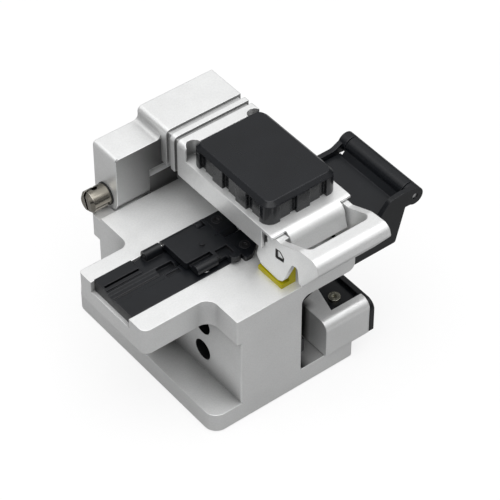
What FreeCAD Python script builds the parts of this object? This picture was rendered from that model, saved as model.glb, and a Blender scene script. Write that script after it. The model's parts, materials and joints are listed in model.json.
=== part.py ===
"""Desk-top optical fibre cleaver, hinged lever type, modelled in millimetres.

X runs along the fibre towards the scrap side, Y from the operator to the hinge, Z up.
The origin lies on the desk, below the middle of the foot plate. The sizes are measured from the
front left edge of the upright wall and the underside of the metal foot; every piece is shifted from
there to the origin.
"""
import FreeCAD, Part
import math
import os
import re

from FreeCAD import Placement, Rotation, Vector

doc = FreeCAD.newDocument("FibreCleaver")
sheet = doc.addObject("Spreadsheet::Sheet", "Sizes")

SIZES = [
    # base casting
    ("foot_left", -8.3, "left edge of the foot plate"),
    ("foot_right", 34.0, "right edge of the foot plate"),
    ("foot_rear", 55.5, "rear edge of the foot plate"),
    ("foot_thick", 5.3, "foot plate thickness"),
    ("foot_corner", 3.3, "left corner radius of the foot"),
    ("edge_radius", 1.0, "small corner radius of the casting"),
    ("fine_radius", 0.5, "finest corner radius of the casting"),
    ("wall_step", 30.0, "where the wall steps out to the left"),
    ("step_radius", 1.5, "corner radii of that step"),
    ("shelf_drop", 1.0, "shelf under the pin head below the deck"),
    ("wall_left", 0.0, "outer face of the upright wall"),
    ("wall_rear_left", -5.4, "outer face of the wall behind the tongue"),
    ("wall_inner", 17.7, "inner face of the upright wall"),
    ("wall_rear", 48.2, "rear face of the upright wall"),
    ("deck_top", 33.0, "height of the deck"),
    ("slab_thick", 7.5, "deck slab thickness on the left"),
    ("roof_thick", 3.7, "deck thickness over the carriage window"),
    ("window_corner", 2.2, "inside corner of the carriage window"),
    ("roof_corner", 2.0, "lower right corner of the roof"),
    ("deck_left", -1.2, "left edge of the deck beside the scoop"),
    ("deck_right", 33.5, "right edge of the deck"),
    ("deck_rear", 46.9, "deck edge at the hinge trough"),
    ("slab_rear", 50.9, "rear face of the slab"),
    ("tongue_left", -19.7, "left end of the tongue"),
    ("tongue_front", 10.4, "front edge of the tongue"),
    ("tongue_rear", 35.7, "rear edge of the tongue"),
    ("tongue_corner", 2.0, "front corner of the tongue"),
    ("scoop_radius", 3.0, "inside corner in front of the tongue"),
    ("rear_scoop", 2.3, "inside corner behind the tongue"),
    # wall holes
    ("wall_hole_y", 14.8, "distance of the wall holes from the front"),
    ("low_hole_z", 11.5, "height of the lower wall hole"),
    ("high_hole_z", 20.0, "height of the upper wall hole"),
    ("wall_hole_radius", 2.8, "wall hole radius"),
    ("wall_hole_depth", 9.0, "wall hole depth"),
    ("hex_size", 1.15, "socket radius of the larger screws"),
    # hinge
    ("hinge_y", 51.5, "hinge axis behind the front face"),
    ("hinge_rise", 2.1, "hinge axis above the deck"),
    ("trough_radius", 5.05, "trough round the lever knuckles"),
    ("ear_left", 9.3, "left side of the base ear"),
    ("ear_right", 25.7, "right side of the base ear"),
    ("ear_radius", 3.6, "base ear radius round the pin"),
    ("ear_front", 4.1, "front face of the base ear before the hinge axis"),
    ("ear_rise", 2.6, "flat top of the base ear above the hinge axis"),
    ("pin_radius", 1.5, "hinge pin radius"),
    ("knob_radius", 2.85, "slotted pin head radius"),
    ("knob_left", -6.3, "outer face of the pin head"),
    ("knob_slot", 1.0, "screwdriver slot in the pin head"),
    ("knob_slot_deep", 1.2, "depth of the screwdriver slot"),
    ("knob_turn", 18.6, "how far the pin head is turned, in degrees"),
    ("knob_bevel", 0.8, "bevel of the pin head"),
    ("knob_hole", 0.95, "cross hole radius in the pin head"),
    ("knob_hole_in", 2.9, "cross hole from the outer face of the pin head"),
    ("pin_in_head", 1.75, "how far the pin goes into its head"),
    ("washer_thick", 0.35, "washer under the pin head"),
    # fibre line
    ("fibre_y", 23.6, "fibre line behind the front face"),
    ("blade_plane", 25.5, "cutting plane of the blade"),
    ("channel_front", 16.1, "front wall of the adapter channel"),
    ("channel_rear", 31.0, "rear wall of the adapter channel"),
    ("channel_depth", 3.0, "adapter channel depth"),
    ("channel_right", 12.6, "right end of the adapter channel"),
    ("slot_width", 1.8, "blade slot width"),
    ("slot_front", 8.0, "front end of the blade slot"),
    ("slot_rear", 43.0, "rear end of the blade slot"),
    # clearances
    ("run_gap", 0.05, "radial clearance of a turning fit"),
    ("seat_gap", 0.02, "radial clearance of a fixed pin"),
    ("slide_gap", 0.1, "clearance of a sliding fit"),
    ("side_gap", 0.3, "clearance beside a moving piece"),
    # fibre adapter and its flap
    ("adapter_left", -18.7, "left end of the adapter"),
    ("adapter_proud", 0.1, "adapter top above the deck"),
    ("ledge_high", 0.35, "rear ledge above the adapter top"),
    ("ledge_front", 26.1, "front edge of the rear ledge"),
    ("ledge_right", -8.4, "right end of the rear ledge"),
    ("ledge_back", 0.8, "how far the adapter is narrower behind the ledge"),
    ("ledge_back_deep", 1.0, "depth of that narrower part"),
    ("groove_middle", 24.4, "middle of the wide groove in the adapter"),
    ("groove_wide", 2.4, "width of the wide groove in the adapter"),
    ("groove_deep", 0.55, "depth of the wide groove in the adapter"),
    ("groove_flank", 0.6, "width of its sloping flanks"),
    ("groove_size", 0.3, "half width of the fibre groove in its floor"),
    ("step_front", 21.5, "front edge of the shallow step beside the wide groove"),
    ("step_deep", 0.12, "depth of that shallow step"),
    ("rest_left", -5.3, "left end of the pocket at the end of the wide groove"),
    ("rest_right", -0.9, "right end of that pocket"),
    ("rest_front", 22.9, "front side of that pocket"),
    ("rest_rear", 25.4, "rear side of that pocket"),
    ("rest_deep", 1.1, "depth of that pocket"),
    ("flap_left", -0.2, "left edge of the flap"),
    ("flap_right", 12.2, "right edge of the flap"),
    ("flap_front", 20.4, "front edge of the flap plate"),
    ("flap_step", 6.6, "where the flap steps forward"),
    ("flap_step_front", 17.6, "front edge of the flap right of the step"),
    ("flap_pin_y", 29.6, "flap hinge behind the front face"),
    ("flap_pin_rise", 1.2, "flap hinge above the deck"),
    ("flap_barrel", 1.2, "flap barrel radius"),
    ("flap_thick", 1.8, "flap thickness"),
    ("flap_lift", 0.5, "flap underside above the adapter"),
    ("flap_roll_left", 0.7, "left end of the roll before the flap plate"),
    ("flap_roll_front", 16.8, "front side of the roll"),
    ("flap_roll_rear", 19.5, "rear side of the roll"),
    ("flap_roll_high", 2.0, "height of the roll"),
    ("flap_bridge", 0.8, "thickness of the flap between roll and plate"),
    ("flap_dent_left", 7.5, "left side of the lowered corner of the flap"),
    ("flap_dent_right", 11.0, "right side of the lowered corner of the flap"),
    ("flap_dent_rear", 19.8, "rear side of the lowered corner of the flap"),
    ("flap_dent_deep", 0.9, "depth of the lowered corner of the flap"),
    ("flap_nub_x", 6.7, "small nub from the left edge of the flap"),
    ("flap_nub_y", 2.8, "small nub from the front edge of the flap plate"),
    ("flap_nub_radius", 0.6, "small nub on the flap"),
    ("flap_nub_high", 0.5, "height of the small nub"),
    ("flap_magnet_high", 0.9, "thickness of the magnet in the flap"),
    ("rubber_pad_long", 8.0, "length of the flap rubber"),
    ("rubber_pad_wide", 2.0, "width of the flap rubber"),
    ("rubber_pad_thick", 0.35, "thickness of the flap rubber"),
    ("relief_long", 9.7, "length of the slot in the adapter ledge"),
    ("relief_wide", 0.7, "width of the slot in the adapter ledge"),
    ("relief_deep", 1.2, "depth of the slot in the adapter ledge"),
    ("relief_in", 0.4, "slot in the adapter ledge from the left end"),
    ("relief_back", 0.9, "slot in the adapter ledge behind its front edge"),
    ("mark_left", -4.7, "left end of the shallow mark in the adapter"),
    ("mark_front", 21.1, "front side of the shallow mark in the adapter"),
    ("mark_long", 3.8, "length of the shallow mark in the adapter"),
    ("mark_wide", 1.2, "width of the shallow mark in the adapter"),
    ("mark_deep", 0.4, "depth of the shallow mark in the adapter"),
    ("flap_pin_radius", 0.45, "flap hinge pin radius"),
    ("lug_left", -5.6, "left end of the adapter lug"),
    ("lug_right", -1.0, "right end of the adapter lug"),
    ("inner_lug_left", 9.4, "left side of the inner lug"),
    ("inner_lug_right", 11.0, "right side of the inner lug"),
    ("tab_left", 9.3, "left side of the finger tab"),
    ("tab_front", 15.0, "front end of the finger tab"),
    ("tab_radius", 1.2, "corner radius of the finger tab"),
    ("magnet_x", 3.6, "holding magnet to the right of the wall face"),
    ("magnet_y", 18.2, "holding magnet behind the front face"),
    ("magnet_radius", 1.1, "holding magnet radius"),
    ("magnet_thick", 1.2, "holding magnet thickness"),
    # fibre guide between the flap and the clamps
    ("guide_right", 17.5, "right side of the fibre guide"),
    ("guide_front", 14.4, "front side of the fibre guide"),
    ("guide_slant_x", 3.0, "how far the slanted corner of the fibre guide runs to the left"),
    ("guide_slant_y", 2.2, "how far the slanted corner of the fibre guide runs to the rear"),
    ("guide_plate_rear", 30.9, "rear side of the fibre guide"),
    ("guide_thick", 1.4, "fibre guide thickness"),
    ("guide_corner", 1.2, "corner radius of the fibre guide"),
    ("guide_groove", 1.1, "half width of the groove in the fibre guide"),
    ("guide_screw_front", 3.6, "front screw behind the front side of the fibre guide"),
    ("guide_screw_rear", 2.2, "rear screw before the rear side of the fibre guide"),
    ("guide_screw_long", 3.0, "fibre guide screw length in the deck"),
    # lever
    ("arm_left", 12.7, "left side of the lever arm"),
    ("arm_right", 35.7, "right side of the lever arm"),
    ("arm_rise", 8.5, "underside of the lever arm above the deck"),
    ("rim_rise", 14.7, "rim of the lever arm above the deck"),
    ("block_front", 37.3, "front face of the lever block"),
    ("block_right", 34.8, "right side of the lever block"),
    ("block_rise", 19.0, "top of the lever block above the deck"),
    ("shoulder_left", -0.4, "left side of the low shoulder"),
    ("shoulder_rise", 15.3, "top of the low shoulder above the deck"),
    ("knuckle_radius", 4.55, "lever knuckle radius"),
    ("shoulder_hollow", 1.5, "hollow radius between shoulder and block"),
    ("block_edge", 1.3, "upper left edge radius of the block"),
    ("notch_left", 9.1, "left side of the ear notch"),
    ("notch_right", 25.9, "right side of the ear notch"),
    ("notch_rise", 7.4, "top of the ear notch above the deck"),
    ("groove_depth", 0.7, "depth of the two grooves"),
    ("groove_one_y", 43.2, "front side of the rear groove"),
    ("groove_one_width", 1.6, "width of the rear groove"),
    ("groove_two_y", 40.5, "front side of the front groove"),
    ("groove_two_width", 1.2, "width of the front groove"),
    ("lip_y", 6.0, "centre of the rounded front lip"),
    ("lip_radius", 3.1, "radius of the rounded front lip"),
    ("apron_drop", 1.4, "top of the front apron below the lip"),
    ("apron_top_out", 2.55, "top of the front apron before the lip centre"),
    ("apron_low_out", 3.9, "bottom of the front apron before the lip centre"),
    ("half_round_radius", 1.9, "half round notches in the block front"),
    ("half_round_left", 2.3, "left half round notch from the side of the block"),
    ("half_round_right", 1.8, "right half round notch from the side of the block"),
    # lever pad
    ("pad_left", 13.8, "left side of the pad"),
    ("pad_right", 34.4, "right side of the pad"),
    ("pad_front", 8.0, "front side of the pad"),
    ("pad_rear", 36.4, "rear side of the pad"),
    ("pad_thick", 6.3, "pad thickness above the rim of the arm"),
    ("pad_corner", 2.6, "corner radius of the pad"),
    ("pad_bevel", 1.1, "bevel round the top of the pad"),
    ("pad_slot", 1.5, "width of the grip slots"),
    ("pad_slot_depth", 1.0, "depth of the grip slots"),
    ("pad_panel_depth", 0.65, "depth of the shallow grip panels"),
    ("pad_panel_long", 3.4, "length of the shallow grip panels"),
    ("side_slot_one", 15.2, "first grip slot on the sides"),
    ("side_slot_two", 24.0, "second grip slot on the sides"),
    ("side_slot_three", 32.6, "third grip slot on the sides"),
    ("front_slot_one", 21.6, "left grip slot on the front"),
    ("front_slot_two", 30.3, "right grip slot on the front"),
    ("pad_screw_front", 4.6, "front pad screw behind the front of the pad"),
    ("pad_screw_rear", 3.2, "rear pad screw before the rear of the pad"),
    ("pad_screw_head", 1.6, "pad screw head radius"),
    ("pad_screw_high", 1.5, "pad screw head height"),
    ("pad_screw_shank", 0.9, "pad screw shank radius"),
    ("pad_screw_grip", 3.5, "pad screw length in the pad"),
    # clamps under the lever
    ("clamp_left", 20.0, "left side of the left clamp"),
    ("clamp_right", 27.4, "left side of the right clamp"),
    ("clamp_wide", 3.6, "clamp width along the fibre"),
    ("clamp_front", 19.8, "front of the clamps"),
    ("clamp_long", 7.6, "clamp length across the fibre"),
    ("fibre_rise", 0.3, "fibre above the deck"),
    ("clamp_pocket", 1.5, "pocket depth for the lower clamps"),
    ("clamp_gap", 0.14, "room for the fibre between the clamps"),
    ("clamp_pad_thick", 1.2, "upper clamp pad thickness"),
    ("holder_thick", 1.8, "clamp holder plate thickness"),
    ("holder_left", 18.4, "left side of the clamp holder"),
    ("holder_right", 33.0, "right side of the clamp holder"),
    ("holder_front", 15.6, "front side of the clamp holder"),
    ("holder_rear", 31.4, "rear side of the clamp holder"),
    ("holder_inset_x", 2.0, "holder screws from the sides of the holder"),
    ("holder_inset_y", 1.7, "holder screws from the front and rear of the holder"),
    ("holder_screw_long", 3.0, "clamp holder screw length in the lever"),
    ("guide_wide", 2.6, "plunger guide width"),
    ("guide_long", 3.2, "plunger guide length"),
    ("guide_high", 3.0, "plunger guide height below the plate"),
    ("anvil_foot_wide", 1.2, "plunger foot width"),
    ("anvil_foot_long", 1.4, "plunger foot length"),
    ("anvil_foot_high", 1.0, "plunger foot height"),
    ("anvil_radius", 0.85, "breaking plunger radius"),
    ("anvil_high", 5.4, "breaking plunger height"),
    # catch handle
    ("catch_left", 13.7, "left side of the catch handle"),
    ("catch_right", 34.8, "right side of the catch handle"),
    ("catch_pivot_rise", 11.6, "catch pivot above the deck"),
    ("catch_opening_rear", 10.0, "rear end of the opening in the catch behind the pivot"),
    ("catch_pin_radius", 0.9, "catch pivot pin radius"),
    ("catch_knuckle", 2.0, "catch knuckle radius"),
    ("cheek_thick", 1.5, "thickness of the catch side plates"),
    ("catch_knuckle_wide", 2.7, "length of the catch knuckle with its plate"),
    ("catch_nose", 2.5, "flat front of the left catch knuckle before the pivot"),
    ("catch_pin_in", 0.5, "end of the pivot pin below the outer face of the side plate"),
    ("catch_knuckle_right", 2.0, "length of the right catch knuckle"),
    ("catch_bar_rear", 10.9, "rear side of the front bar, before the pivot"),
    ("catch_inside_corner", 1.8, "inside corners of the front bar"),
    ("catch_eye_deep", 1.0, "depth of the hole for the plug in the left side plate"),
    ("catch_eye_ring", 0.5, "width of the ring round the plug"),
    ("catch_eye_sunk", 0.3, "plug below the face of the side plate"),
    # keeper
    ("keeper_left", 13.4, "left side of the keeper"),
    ("keeper_wide", 4.2, "keeper width"),
    ("keeper_front", 2.3, "front of the keeper"),
    ("keeper_rear", 10.9, "rear of the keeper"),
    ("keeper_thick", 1.2, "keeper base thickness"),
    ("keeper_post_wide", 1.9, "keeper post width"),
    ("keeper_post_deep", 3.2, "keeper post depth"),
    ("keeper_post", 5.4, "keeper post height above the deck"),
    # carriage
    ("rail_thick", 2.6, "slide rail thickness"),
    ("rail_low", 8.5, "lower edge of the slide rail"),
    ("rail_high", 12.5, "upper edge of the slide rail"),
    ("rail_front", 2.0, "front end of the slide rail"),
    ("rail_rear", 47.5, "rear end of the slide rail"),
    ("cover_left", 24.9, "left side of the carriage cover"),
    ("cover_right", 38.2, "right side of the carriage cover"),
    ("cover_front", -0.7, "front of the carriage cover"),
    ("cover_bottom", 5.6, "bottom of the carriage cover"),
    ("cover_top", 16.0, "top of the carriage cover"),
    ("cover_round", 2.5, "front top radius of the cover"),
    ("cover_wall", 3.4, "front wall of the cover"),
    ("cover_rear", 10.5, "rear end of the cover on the right"),
    ("cover_rear_left", 9.0, "rear end of the cover on the left"),
    ("cover_step_front", 29.0, "right side of the cover behind its front wall"),
    ("cover_step_rear", 31.2, "right side of the cover at its rear end"),
    ("block_left", 18.3, "left side of the carriage block"),
    ("block_low", 5.9, "bottom of the carriage block"),
    ("block_high", 13.9, "top of the carriage block"),
    ("carriage_rear", 30.0, "rear end of the carriage"),
    ("side_plate_thick", 1.4, "right side plate thickness"),
    ("side_plate_top", 15.0, "right side plate top"),
    ("carriage_screw_long", 5.0, "carriage screw length in the block"),
    ("carriage_screw_in", 4.8, "carriage screws from the side plate"),
    ("carriage_screw_front", 3.7, "front carriage screw before the rear of the cover"),
    ("carriage_screw_rear", 3.6, "rear carriage screw before the end of the carriage"),
    ("carriage_head", 1.5, "carriage screw head radius"),
    ("carriage_head_high", 0.9, "carriage screw head height"),
    ("bracket_left", 27.6, "left side of the blade bracket"),
    ("bracket_right", 33.0, "right side of the blade bracket"),
    ("bracket_front", 12.8, "front side of the blade bracket"),
    ("bracket_rear", 20.0, "rear side of the blade bracket"),
    ("bracket_foot", 1.5, "thickness of the bracket foot"),
    ("bracket_screw_in", 1.8, "bracket screws from the edges of the foot"),
    ("bracket_thick", 2.0, "thickness of the bracket upright"),
    # blade
    ("blade_bevel", 0.4, "height of the ground edge of the blade"),
    ("blade_screw_long", 3.6, "blade screw shank length"),
    ("blade_head_high", 1.4, "blade screw head height"),
    ("blade_radius", 8.0, "blade wheel radius"),
    ("blade_thick", 1.2, "blade wheel thickness"),
    ("blade_y", 15.5, "blade centre at the start of the stroke"),
    ("blade_drop", 7.8, "blade centre below the deck"),
    ("hub_radius", 2.0, "hub that carries the blade wheel"),
    # scrap collector
    ("tray_right", 45.8, "right side of the tray floor"),
    ("tray_drop", 2.5, "underside of the tray below the deck"),
    ("tray_rear", 25.3, "rear face of the tray"),
    ("tray_wall", 1.3, "tray wall thickness"),
    ("lid_pin_x", 51.3, "lid hinge to the right"),
    ("lid_pin_rise", 9.0, "lid hinge above the deck"),
    ("web_foot_in", 9.7, "foot of the tray web inward from the lid hinge"),
    ("web_foot_rise", 0.2, "foot of the tray web above the lid hinge"),
    ("lid_barrel", 2.35, "lid barrel radius"),
    ("lid_pin_radius", 0.8, "lid hinge pin radius"),
    ("lid_left", 36.8, "left edge of the lid"),
    ("lid_rise", 6.2, "underside of the lid above the deck"),
    ("lid_thick", 1.2, "lid thickness"),
    ("lid_link_out", 3.6, "root of the lid link from the lid hinge"),
    ("lid_link_in", 1.8, "inner side of the lid link from the lid hinge"),
    ("lid_edge", 2.9, "right edge of the lid plate from the lid hinge"),
    ("tray_slant_out", 2.6, "how far the tray wall leans outwards"),
    ("tray_slant_high", 9.7, "height over which the tray wall leans"),
    ("tray_slant_top", 8.4, "top of the leaning tray wall above the underside"),
    ("lug_thick", 2.4, "tray hinge lug thickness"),
    ("tray_floor", 1.1, "tray floor thickness"),
    ("tray_screw_head", 0.65, "tray screw head radius"),
    ("tray_screw_shank", 0.4, "tray screw shank radius"),
    ("tray_screw_long", 2.2, "tray screw length in the deck"),
    ("tray_screw_front", 5.0, "front tray screw behind the front face"),
    ("tray_screw_back", 16.0, "rear tray screw behind the front face"),
    ("tray_head_high", 0.6, "tray screw head height"),
    # screws
    ("small_head", 1.3, "head radius of the small screws"),
    ("small_head_high", 0.7, "head height of the small screws"),
    ("small_shank", 0.7, "shank radius of the small screws"),
    ("small_socket", 0.65, "socket radius of the small screws"),
    ("mat_screw_long", 3.2, "mat screw shank length"),
    ("rail_screw_long", 5.0, "rail screw length in the wall"),
    ("adapter_screw_long", 3.0, "adapter screw length in the tongue"),
    ("adapter_screw_sink", 0.4, "adapter screw head below the adapter top"),
    ("keeper_screw_long", 4.0, "keeper screw length in the deck"),
    ("wall_screw_radius", 1.4, "shank radius of the wall screws"),
    ("wall_screw_high", 2.6, "head height of the wall screws"),
    ("wall_screw_long", 4.0, "shank length of the wall screws"),
    ("tip_gap", 0.2, "room between a screw tip and the end of its hole"),
    ("mat_screw_in", 3.0, "mat screws from the edge of the mat"),
    ("rail_screw_in", 5.0, "outer rail screws from the ends of the rail"),
    ("adapter_screw_one_x", 21.2, "left adapter screw from the end of the adapter"),
    ("adapter_screw_one_y", 0.3, "left adapter screw behind the front of the ledge"),
    ("adapter_screw_two_x", 28.2, "right adapter screw from the end of the adapter"),
    ("adapter_screw_two_y", 5.7, "right adapter screw before the front of the ledge"),
    # underside
    ("mat_recess", 1.2, "depth of the recess for the mat"),
    ("mat_margin", 5.0, "distance of the mat from the foot edge"),
    ("mat_proud", 0.4, "how far the rubber mat stands out below the metal"),
]

for row, (alias, value, note) in enumerate(SIZES, start=1):
    sheet.set("A%d" % row, alias)
    sheet.set("B%d" % row, str(value))
    sheet.set("C%d" % row, note)
    sheet.setAlias("B%d" % row, alias)
doc.recompute()


class Values:
    """The numbers of the sheet, read back by name for the sketched outlines."""


val = Values()
for alias, value, note in SIZES:
    setattr(val, alias, float(sheet.get(alias)))
NAMES = {alias for alias, value, note in SIZES}
# Heights of all that stands on the deck, hangs over it or reaches up to it: they go with the deck.
HEIGHTS = {
    "hinge_z": ("deck_top", "+", "hinge_rise"),
    "notch_top": ("deck_top", "+", "notch_rise"),
    "flap_pin_z": ("deck_top", "+", "flap_pin_rise"),
    "clamp_pad_top": ("deck_top", "+", "fibre_rise"),
    "arm_bottom": ("deck_top", "+", "arm_rise"),
    "arm_top": ("deck_top", "+", "rim_rise"),
    "block_top": ("deck_top", "+", "block_rise"),
    "shoulder_top": ("deck_top", "+", "shoulder_rise"),
    "catch_pivot_z": ("deck_top", "+", "catch_pivot_rise"),
    "blade_z": ("deck_top", "-", "blade_drop"),
    "tray_bottom": ("deck_top", "-", "tray_drop"),
    "lid_pin_z": ("deck_top", "+", "lid_pin_rise"),
    "lid_low": ("deck_top", "+", "lid_rise"),
}
for name, (start, sign, step) in HEIGHTS.items():
    change = getattr(val, step)
    setattr(val, name, getattr(val, start) + (change if sign == "+" else -change))
MID_X = (val.foot_left + val.foot_right) / 2
MID_Y = val.foot_rear / 2
PARTS = []


def link(text):
    """Turn size names in a formula into references to the sheet."""
    def prefix(match):
        word = match.group(0)
        if word in HEIGHTS:
            return "(Sizes.%s %s Sizes.%s)" % HEIGHTS[word]
        return "Sizes." + word if word in NAMES else word
    return re.sub(r"[A-Za-z_]\w*", prefix, str(text))


def bind(obj, prop, text):
    obj.setExpression(prop, link(text))


def at(obj, x, y, z):
    bind(obj, "Placement.Base.x", "(%s) - (foot_left + foot_right)/2" % x)
    bind(obj, "Placement.Base.y", "(%s) - foot_rear/2" % y)
    bind(obj, "Placement.Base.z", "(%s) + mat_proud" % z)


def box(name, x, y, z, long, wide, high):
    """A block from its low corner and its three sizes."""
    obj = doc.addObject("Part::Box", name)
    bind(obj, "Length", long)
    bind(obj, "Width", wide)
    bind(obj, "Height", high)
    at(obj, x, y, z)
    return obj


TURNS = {
    "X": Rotation(Vector(0, 1, 0), 90),
    "Y": Rotation(Vector(1, 0, 0), -90),
    "Z": Rotation(),
}


def rod(name, axis, x, y, z, radius, length):
    """A round bar that starts at a point and runs along an axis."""
    obj = doc.addObject("Part::Cylinder", name)
    obj.Placement = Placement(Vector(0, 0, 0), TURNS[axis])
    bind(obj, "Radius", radius)
    bind(obj, "Height", length)
    at(obj, x, y, z)
    return obj


def cone(name, axis, x, y, z, radius_one, radius_two, length):
    obj = doc.addObject("Part::Cone", name)
    obj.Placement = Placement(Vector(0, 0, 0), TURNS[axis])
    bind(obj, "Radius1", radius_one)
    bind(obj, "Radius2", radius_two)
    bind(obj, "Height", length)
    at(obj, x, y, z)
    return obj


def hexagon(name, axis, x, y, z, radius, length):
    obj = doc.addObject("Part::Prism", name)
    obj.Polygon = 6
    obj.Placement = Placement(Vector(0, 0, 0), TURNS[axis])
    bind(obj, "Circumradius", radius)
    bind(obj, "Height", length)
    at(obj, x, y, z)
    return obj


def joined(name, *shapes):
    obj = doc.addObject("Part::MultiFuse", name)
    obj.Shapes = list(shapes)
    obj.Refine = True
    return obj


def without(name, base, *tools):
    tool = tools[0]
    if len(tools) > 1:
        tool = doc.addObject("Part::MultiFuse", name + "_tools")
        tool.Shapes = list(tools)
    obj = doc.addObject("Part::Cut", name)
    obj.Base = base
    obj.Tool = tool
    obj.Refine = True
    return obj


def group(name, *shapes):
    """Separate solids of the same kind that share one node."""
    obj = doc.addObject("Part::Compound", name)
    obj.Links = list(shapes)
    return obj


def rounded(name, base, size, pick, kind="Part::Fillet"):
    """Round or bevel the edges that pick() chooses."""
    doc.recompute()
    obj = doc.addObject(kind, name)
    obj.Base = base
    edges = []
    for number, edge in enumerate(base.Shape.Edges, start=1):
        if pick(edge):
            edges.append((number, size, size))
    if not edges:
        raise RuntimeError("no edge found for " + name)
    obj.Edges = edges
    return obj


def runs_along(edge, axis):
    ends = [vertex.Point for vertex in edge.Vertexes]
    if len(ends) != 2:
        return False
    step = ends[1] - ends[0]
    return step.Length > 0.2 and abs(step.dot(axis)) > 0.999 * step.Length


def edge_at(axis, **wanted):
    """Edges along an axis whose middle has the wanted X, Y or Z."""
    def pick(edge):
        if not runs_along(edge, axis):
            return False
        middle = (edge.Vertexes[0].Point + edge.Vertexes[1].Point) * 0.5
        found = {"x": middle.x + MID_X, "y": middle.y + MID_Y, "z": middle.z - val.mat_proud}
        return all(abs(found[key] - value) < 0.02 for key, value in wanted.items())
    return pick


def outline(points):
    """Lines and tangent arcs round a closed list of (u, v, radius) corners."""
    count = len(points)
    starts, ends, arcs = [], [], []
    for index in range(count):
        here = Vector(points[index][0], points[index][1], 0)
        radius = points[index][2] if len(points[index]) > 2 else 0
        before = Vector(points[index - 1][0], points[index - 1][1], 0) - here
        after = Vector(points[(index + 1) % count][0], points[(index + 1) % count][1], 0) - here
        before.normalize()
        after.normalize()
        if radius <= 0:
            starts.append(here)
            ends.append(here)
            arcs.append(None)
            continue
        half = before.getAngle(after) / 2
        reach = radius / math.tan(half)
        first = here + before * reach
        second = here + after * reach
        middle = (before + after).normalize() * (radius / math.sin(half))
        centre = here + middle
        crown = centre - middle.normalize() * radius
        starts.append(first)
        ends.append(second)
        arcs.append(Part.Arc(first, crown, second))
    curves = []
    for index in range(count):
        if arcs[index] is not None:
            curves.append(arcs[index])
        line_from = ends[index]
        line_to = starts[(index + 1) % count]
        if (line_to - line_from).Length > 1e-6:
            curves.append(Part.LineSegment(line_from, line_to))
    return curves


def prism(name, plane, points, start, length):
    """A sketched outline padded along the axis that the plane faces."""
    body = doc.addObject("PartDesign::Body", name)
    sketch = body.newObject("Sketcher::SketchObject", name + "_sketch")
    roles = {"Z": "XY_Plane", "Y": "XZ_Plane", "X": "YZ_Plane"}
    for feature in body.Origin.OriginFeatures:
        if feature.Role == roles[plane]:
            sketch.AttachmentSupport = [(feature, "")]
    sketch.MapMode = "FlatFace"
    up = -val.mat_proud
    moved = {"Z": (MID_X, MID_Y), "Y": (MID_X, up), "X": (MID_Y, up)}[plane]
    points = [(point[0] - moved[0], point[1] - moved[1]) + tuple(point[2:]) for point in points]
    heights = {
        "Z": "(%s) + mat_proud" % start,
        "Y": "foot_rear/2 - (%s) - (%s)" % (start, length),
        "X": "(%s) - (foot_left + foot_right)/2" % start,
    }
    bind(sketch, "AttachmentOffset.Base.z", heights[plane])
    sketch.addGeometry(outline(points), False)
    pad = body.newObject("PartDesign::Pad", name + "_pad")
    pad.Profile = sketch
    bind(pad, "Length", length)
    body.Tip = pad
    return body


def screw(name, axis, x, y, z, head, head_high, shank, shank_long, socket):
    """A cap screw: head first, shank after it along the axis, hex socket in the head."""
    sign = 1 if axis[0] != "-" else -1
    letter = axis[-1]
    place = {"X": (1, 0, 0), "Y": (0, 1, 0), "Z": (0, 0, 1)}[letter]
    def shifted(amount):
        base = [x, y, z]
        return ["(%s) + (%s)*%d" % (base[i], amount, place[i]) for i in range(3)]
    if sign > 0:
        cap = rod(name + "_cap", letter, x, y, z, head, head_high)
        body = rod(name + "_shank", letter, *shifted(head_high), shank, shank_long)
        hole = hexagon(name + "_socket", letter, x, y, z, socket, "(%s)*0.55" % head_high)
    else:
        cap = rod(name + "_cap", letter, *shifted("-(%s)" % head_high), head, head_high)
        body = rod(name + "_shank", letter, *shifted("-(%s)-(%s)" % (head_high, shank_long)),
                   shank, shank_long)
        hole = hexagon(name + "_socket", letter, *shifted("-(%s)*0.55" % head_high), socket,
                       "(%s)*0.55" % head_high)
    whole = joined(name + "_whole", cap, body)
    return without(name, whole, hole)


def keep(obj, label):
    """Name a finished piece; the name is also its file name."""
    obj.Label = label
    PARTS.append(obj)
    return obj


# The casting: foot, upright wall and deck slab with a tongue for the fibre adapter.
foot = prism("foot", "Z", [
    (val.foot_left, 0, val.foot_corner),
    (val.foot_right, 0, val.edge_radius),
    (val.foot_right, val.foot_rear, val.edge_radius),
    (val.foot_left, val.foot_rear, val.foot_corner),
], "0", "foot_thick")
wall = prism("wall", "Z", [
    (val.wall_left, 0, val.fine_radius),
    (val.wall_inner, 0),
    (val.wall_inner, val.wall_rear, val.fine_radius),
    (val.wall_rear_left, val.wall_rear, val.fine_radius),
    (val.wall_rear_left, val.wall_step, val.step_radius),
    (val.wall_left, val.wall_step, val.step_radius),
], "foot_thick", "deck_top - slab_thick - foot_thick")
slab = prism("slab", "Z", [
    (val.deck_left, 0, val.fine_radius),
    (val.deck_right, 0),
    (val.deck_right, val.slab_rear, val.edge_radius),
    (val.wall_rear_left, val.slab_rear, val.edge_radius),
    (val.wall_rear_left, val.tongue_rear, val.rear_scoop),
    (val.tongue_left, val.tongue_rear, val.edge_radius),
    (val.tongue_left, val.tongue_front, val.tongue_corner),
    (val.deck_left, val.tongue_front, val.scoop_radius),
], "deck_top - slab_thick", "slab_thick")
roof_low = val.deck_top - val.roof_thick
window = prism("window", "Y", [
    (val.wall_inner, val.deck_top - val.slab_thick - 2),
    (val.wall_inner, roof_low, val.window_corner),
    (val.deck_right, roof_low, val.roof_corner),
    (val.deck_right, val.deck_top - 0.5),
    (val.deck_right + 3, val.deck_top - 0.5),
    (val.deck_right + 3, val.deck_top - val.slab_thick - 2),
], "-1", "slab_rear + 2")
slab_open = without("slab_open", slab, window)
trough = rod("trough", "X", "shoulder_left - washer_thick", "hinge_y", "hinge_z", "trough_radius",
             "deck_right - shoulder_left + 2")
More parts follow.
